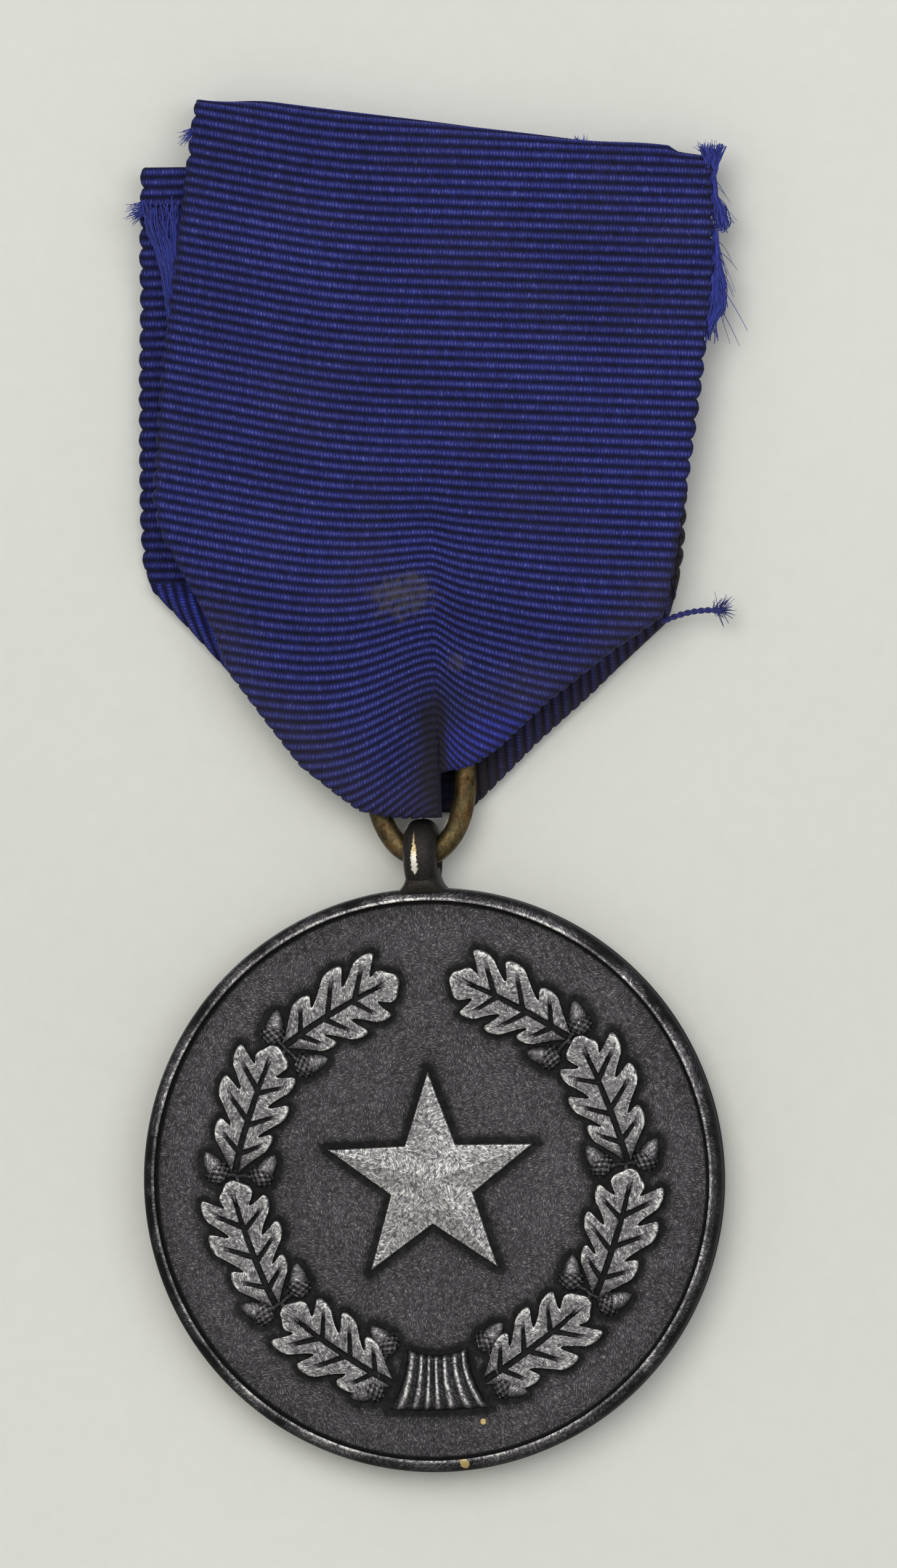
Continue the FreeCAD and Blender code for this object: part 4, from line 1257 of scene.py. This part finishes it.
def twisted_thread(mesh, path, radius, turns_per_mm=1.1):
    """A thread of two twisted plies along a path."""
    path = np.asarray(path, float)
    lengths = np.r_[0, np.cumsum(np.linalg.norm(np.diff(path, axis=0), axis=1))]
    tangent = np.gradient(path, axis=0)
    tangent /= np.linalg.norm(tangent, axis=1)[:, None]
    side = np.cross(tangent, (0.2, 0.9, 0.35))
    side /= np.linalg.norm(side, axis=1)[:, None]
    up = np.cross(tangent, side)
    for ply in range(2):
        turn = 2 * math.pi * (lengths * turns_per_mm + ply / 2)
        strand = path + radius * 0.5 * (np.cos(turn)[:, None] * side + np.sin(turn)[:, None] * up)
        tube(mesh, strand, radius * 0.56, sides=8, strand=0.5)


# ---- assembly -----------------------------------------------------------------------------------

def smooth_cad(node, material):
    """Gives a carried-over CAD node its material and smooth shading."""
    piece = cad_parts[node]
    for slot in piece.material_slots:
        slot.material = material
    piece.data.shade_smooth()
    piece.data.set_sharp_from_angle(angle=math.radians(35.0))


def place(piece, body, slot, node):
    """Puts a piece on its body in the place of a CAD node, which it hides; slot is not used."""
    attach(piece, body)
    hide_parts(node)


def build_medal():
    metal = struck_metal()
    outline = []
    for make in (wreath, stump_relief, star_relief, disc_body):
        place(make(metal, outline), "medal", "struck_metal", "medal_disc")
    strap = dark_strap()
    place(strap_eye(strap), "medal", "struck_metal", "suspension_eye")
    place(solder_foot(strap), "medal", "solder", "eye_solder")
    brass = aged_brass("ring_brass", (0.012, 0.009, 0.005), (0.155, 0.112, 0.048), 1.7)
    place(wire_ring(brass), "ring", "ring_brass", "suspension_ring")


def bend_at_brooch(piece):
    """Bakes a piece's transform into its mesh."""
    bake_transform(piece)


def build_ribbon():
    cloth = ribbon_cloth()
    shaded = ribbon_cloth("ribbon_cloth_inner", 0.8)
    for piece in (front_sheet(cloth), back_sheet(cloth)):
        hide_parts("ribbon_top", "ribbon_drape")
        bend_at_brooch(piece)
    for piece in (fold_sheet(shaded), ribbon_neck(shaded)):
        place(piece, "ribbon", "ribbon", "ribbon_drape")


def beside(side, *places):
    """Points at (distance out from the front's edge, z), on one side of the ribbon."""
    edge = FRONT_RIGHT if side > 0 else FRONT_LEFT
    on_edge = [settle((edge_x(edge, z), TOP_FRONT_Y + 0.35, z)) for out, z in places]
    return [point + (side * out, 0, 0) for point, (out, z) in zip(on_edge, places)]


def build_frays():
    """The loose filaments along the ribbon's edges."""
    fray = Mesh()
    # right edge: a tuft at the corner and three bundles that hang along the selvedge
    hank(fray, beside(1, (0.1, 67.2), (0.1, 66.5), (0.0, 65.7), (-0.2, 65.0), (-0.45, 64.4)),
         (1.6, 1.1, 0.75, 0.7, 0.5), 170)
    hank(fray, beside(1, (0.0, 65.5), (0.05, 64.6), (0.1, 63.6), (0.35, 62.8), (0.55, 61.8), (0.45, 61.3)),
         (0.4, 0.4, 0.45, 0.95, 1.0, 0.7), 130)
    hank(fray, beside(1, (0.1, 62.0), (0.15, 60.8), (0.15, 59.4), (0.4, 57.8), (0.5, 56.4), (0.15, 55.4),
                      (0.05, 54.0)), (0.3, 0.4, 0.55, 1.0, 1.05, 0.6, 0.35), 190)
    tuft(fray, beside(1, (0.3, 64.8), (0.4, 62.8)), (0.7, 0, -1), 1.4, 0.25, (0, 0, -0.3), 12)
    tuft(fray, beside(1, (0.3, 60.8), (0.5, 56.6)), (0.40, 0, -1), 2.2, 0.25, (0, 0, -0.3), 20)
    tuft(fray, beside(1, (-0.7, 66.6), (0.5, 66.6)), (-0.25, 0, 1), 0.7, 0.4, (0, 0, 0), 50)
    # top edge, and the upper left corner of the front
    tuft(fray, [(11.6, TOP_FRONT_Y + 0.9, 67.1), (12.3, TOP_FRONT_Y + 0.9, 67.0)], (0.1, 0, 1), 0.5, 0.4,
         (0, 0, 0), 18)
    tuft(fray, beside(-1, (-0.1, 69.7), (-0.1, 69.2)), (-0.75, 0, -0.8), 1.0, 0.22, (0, 0, 0), 70)
    # left: a bundle that hangs between the two halves, and a tuft that stands out past the edge
    y = TOP_FRONT_Y + 0.6
    hank(fray, [(-15.6, y, 64.6), (-15.6, y, 63.2), (-15.3, y, 61.4), (-15.1, y, 59.6), (-15.1, y, 57.6),
                (-15.0, y, 55.4)], (2.9, 2.3, 1.6, 1.0, 0.7, 0.3), 300)
    tuft(fray, [(-16.7, y, 64.5), (-16.9, y, 63.4)], (-1, -0.1, -0.55), 1.1, 0.3, (0, 0, 0), 90)
    bright = thread_fibre("loose_filament", (0.007, 0.010, 0.10), (0.032, 0.046, 0.34))
    bend_at_brooch(fray.build("frayed_filaments", bright))


def build_loose_thread():
    """The end of sewing thread that stands out at the right fold."""
    thread = Mesh()
    t = np.linspace(0, 1, 40)[:, None]
    path = np.array((16.2, MID_Y, 35.75)) + t * (3.9, 0.1, 0.55) + np.sin(t * 3.0) * (0, 0, 0.28)
    twisted_thread(thread, path, 0.2)
    tuft(thread, [path[-7], path[-1]], (0.8, 0, 0.1), 0.95, 0.8, (0, 0, 0), 80, 0.03)
    navy = thread_fibre("navy_thread", (0.010, 0.010, 0.06), (0.03, 0.035, 0.20))
    place(thread.build("loose_thread", navy), "ribbon", "thread", "hem_thread")


def build_brooch():
    brass = aged_brass("brooch_brass", (0.22, 0.155, 0.07), (0.46, 0.34, 0.15), 0.7, 0.95, 0.34, 0.15)
    for node in ("brooch_bar", "needle_rivet", "needle_washer", "catch_hook"):
        smooth_cad(node, brass)
    smooth_cad("brooch_needle", drawn_steel())
    low, high = mm_box("brooch_stitches")
    mesh = Mesh()
    radius = 0.17
    top_z, low_z = high[2] - radius, low[2] + radius
    out_y, in_y = high[1] - radius, low[1]
    span = (high[0] - low[0] - 2 * radius) / 3
    for n in range(4):
        x = low[0] + radius + n * span
        corners = [(x, in_y, top_z), (x, out_y - 0.12, top_z), (x + 0.01, out_y, top_z - 0.12),
                   (x - 0.02, out_y, (top_z + low_z) / 2), (x, out_y, low_z + 0.12),
                   (x, out_y - 0.12, low_z), (x, in_y, low_z)]
        steps = np.linspace(0, len(corners) - 1, 40)
        path = np.stack([np.interp(steps, range(len(corners)), [c[k] for c in corners])
                         for k in range(3)], axis=-1)
        twisted_thread(mesh, path, radius * 0.92, turns_per_mm=1.6)
    navy = thread_fibre("sewing_thread", (0.012, 0.012, 0.05), (0.035, 0.04, 0.16))
    place(mesh.build("sewing_stitches", navy), "brooch", "thread", "brooch_stitches")


# ---- stage, light and camera --------------------------------------------------------------------

CAMERA_TURN = 8.0             # degrees to the right of straight in front
CAMERA_ROLL = 2.0
CAMERA_DISTANCE = 800.0
FRAME_HEIGHT = 101.84         # what the picture's height covers at the object
AIM = (1.16, 25.76)           # picture centre from the disc's centre, right and up in the picture
SENSOR = 36.0
STAGE_FOOT_Z = -60.0          # height of the floor, where the backdrop stands on it
STAGE_REACH = 700.0           # of the floor and the backdrop, from the middle
SKY = (0.95, 0.97, 1.0, 1)
SKY_STRENGTH = 0.47


def camera_axes():
    """The camera's right, up and forward directions and its place, in millimetres."""
    turn, roll = math.radians(CAMERA_TURN), math.radians(CAMERA_ROLL)
    level = Vector((math.cos(turn), math.sin(turn), 0))
    forward = Vector((-math.sin(turn), math.cos(turn), 0))
    # the picture's own axes lean to the right of the object's by the roll
    right = level * math.cos(roll) - Vector((0, 0, 1)) * math.sin(roll)
    up = level * math.sin(roll) + Vector((0, 0, 1)) * math.cos(roll)
    centre = Vector((0, OBVERSE_Y, 0)) + right * AIM[0] + up * AIM[1]
    return right, up, forward, centre - forward * CAMERA_DISTANCE


def build_camera():
    right, up, forward, place = camera_axes()
    data = bpy.data.cameras.new("camera")
    data.sensor_fit = "VERTICAL"
    data.sensor_height = SENSOR
    data.lens = SENSOR * CAMERA_DISTANCE / FRAME_HEIGHT
    data.clip_start = 0.01
    data.clip_end = 10
    camera = bpy.data.objects.new("camera", data)
    basis = Matrix((right, up, -forward)).transposed().to_4x4()
    camera.matrix_world = Matrix.Translation(place * MM) @ basis
    bpy.context.scene.collection.objects.link(camera)
    bpy.context.scene.camera = camera


def paper(name):
    """Off-white paper with a faint unevenness."""
    s = Shader(name)
    where = s.position()
    broad = s.noise(where, 0.012, 2.0)
    fibre = s.noise(where, 0.9, 4.0, 0.6)
    level = s.scaled(fibre, 0.25, s.mul(broad, 0.75))
    colour = s.ramp(level, [(0.3, (0.60, 0.60, 0.555)), (0.7, (0.66, 0.66, 0.62))])
    s.finish(Base_Color=colour, Roughness=0.9, Specular_IOR_Level=0.1, Normal=s.bump(fibre, 0.06, 0.15))
    return s


def only_from_camera(s):
    """Leaves the surface clear for a camera that stands anywhere but at the scene's own place.

    The place of the eye is the shaded point plus the ray's length along the ray.
    """
    geometry = s.node("NewGeometry")
    reach = s.node("VectorMath", operation="SCALE")
    s.put(geometry.outputs["Incoming"], reach.inputs[0])
    s.put(s.node("LightPath").outputs["Ray Length"], reach.inputs["Scale"])
    eye = s.vector("ADD", geometry.outputs["Position"], reach.outputs[0])
    off = s.node("VectorMath", operation="DISTANCE")
    s.put(eye, off.inputs[0])
    off.inputs[1].default_value = camera_axes()[3] * MM
    away = s.math("GREATER_THAN", off.outputs["Value"], 0.03)
    mixed = s.node("MixShader")
    s.put(away, mixed.inputs[0])
    s.put(s.surface.outputs[0], mixed.inputs[1])
    s.put(s.node("BsdfTransparent").outputs[0], mixed.inputs[2])
    s.put(mixed.outputs[0], s.tree.nodes["Material Output"].inputs["Surface"])


def stage_sheet(name, points, faces, material):
    data = bpy.data.meshes.new(name)
    data.from_pydata([tuple(c * MM for c in point) for point in points], [], faces)
    data.materials.append(material)
    data.shade_smooth()
    piece = bpy.data.objects.new(name, data)
    bpy.context.scene.collection.objects.link(piece)
    return piece


def area_light(name, place, aim, size, power, colour=(1, 1, 1)):
    data = bpy.data.lights.new(name, "AREA")
    data.shape = "DISK"
    data.size = size * MM
    data.energy = power
    data.color = colour
    lamp = bpy.data.objects.new(name, data)
    lamp.location = Vector(place) * MM
    lamp.rotation_euler = (Vector(aim) - Vector(place)).to_track_quat("-Z", "Y").to_euler()
    bpy.context.scene.collection.objects.link(lamp)


def build_stage():
    scene = bpy.context.scene
    scene.view_settings.view_transform = "Standard"
    # the sheet of paper that the medal lies on: it touches the disc, and the ribbon's top is off it
    wide, low = STAGE_REACH, STAGE_FOOT_Z
    heights = [low, *np.linspace(0, 62, 32), wide]
    points = [(x, 0.35 + 0.35 * float(smooth(30, 72, z)), z) for z in heights for x in (-wide, wide)]
    lying = paper("backdrop_paper")
    only_from_camera(lying)
    backdrop = stage_sheet("backdrop", points, grid_faces(len(heights), 2), lying.material)
    for ray in ("diffuse", "glossy", "transmission", "shadow"):
        setattr(backdrop, "visible_" + ray, False)
    corners = [(-wide, -wide, low), (wide, -wide, low), (wide, wide, low), (-wide, wide, low)]
    stage_sheet("floor", corners, [(0, 1, 2, 3)], paper("floor_paper").material)
    world = bpy.data.worlds.new("studio")
    world.use_nodes = True
    background = world.node_tree.nodes["Background"].inputs
    background[0].default_value = SKY
    background[1].default_value = SKY_STRENGTH
    scene.world = world
    area_light("key", (-160, -1050, 440), (0, 0, 25), 900, 6.8, (1.0, 0.985, 0.95))
    area_light("fill", (620, -960, 160), (0, 0, 25), 740, 3.6, (0.95, 0.97, 1.0))
    area_light("rear", (-500, 980, 420), (0, 0, 25), 900, 6.5)


build_medal()
build_ribbon()
build_frays()
build_loose_thread()
build_brooch()
build_stage()
build_camera()
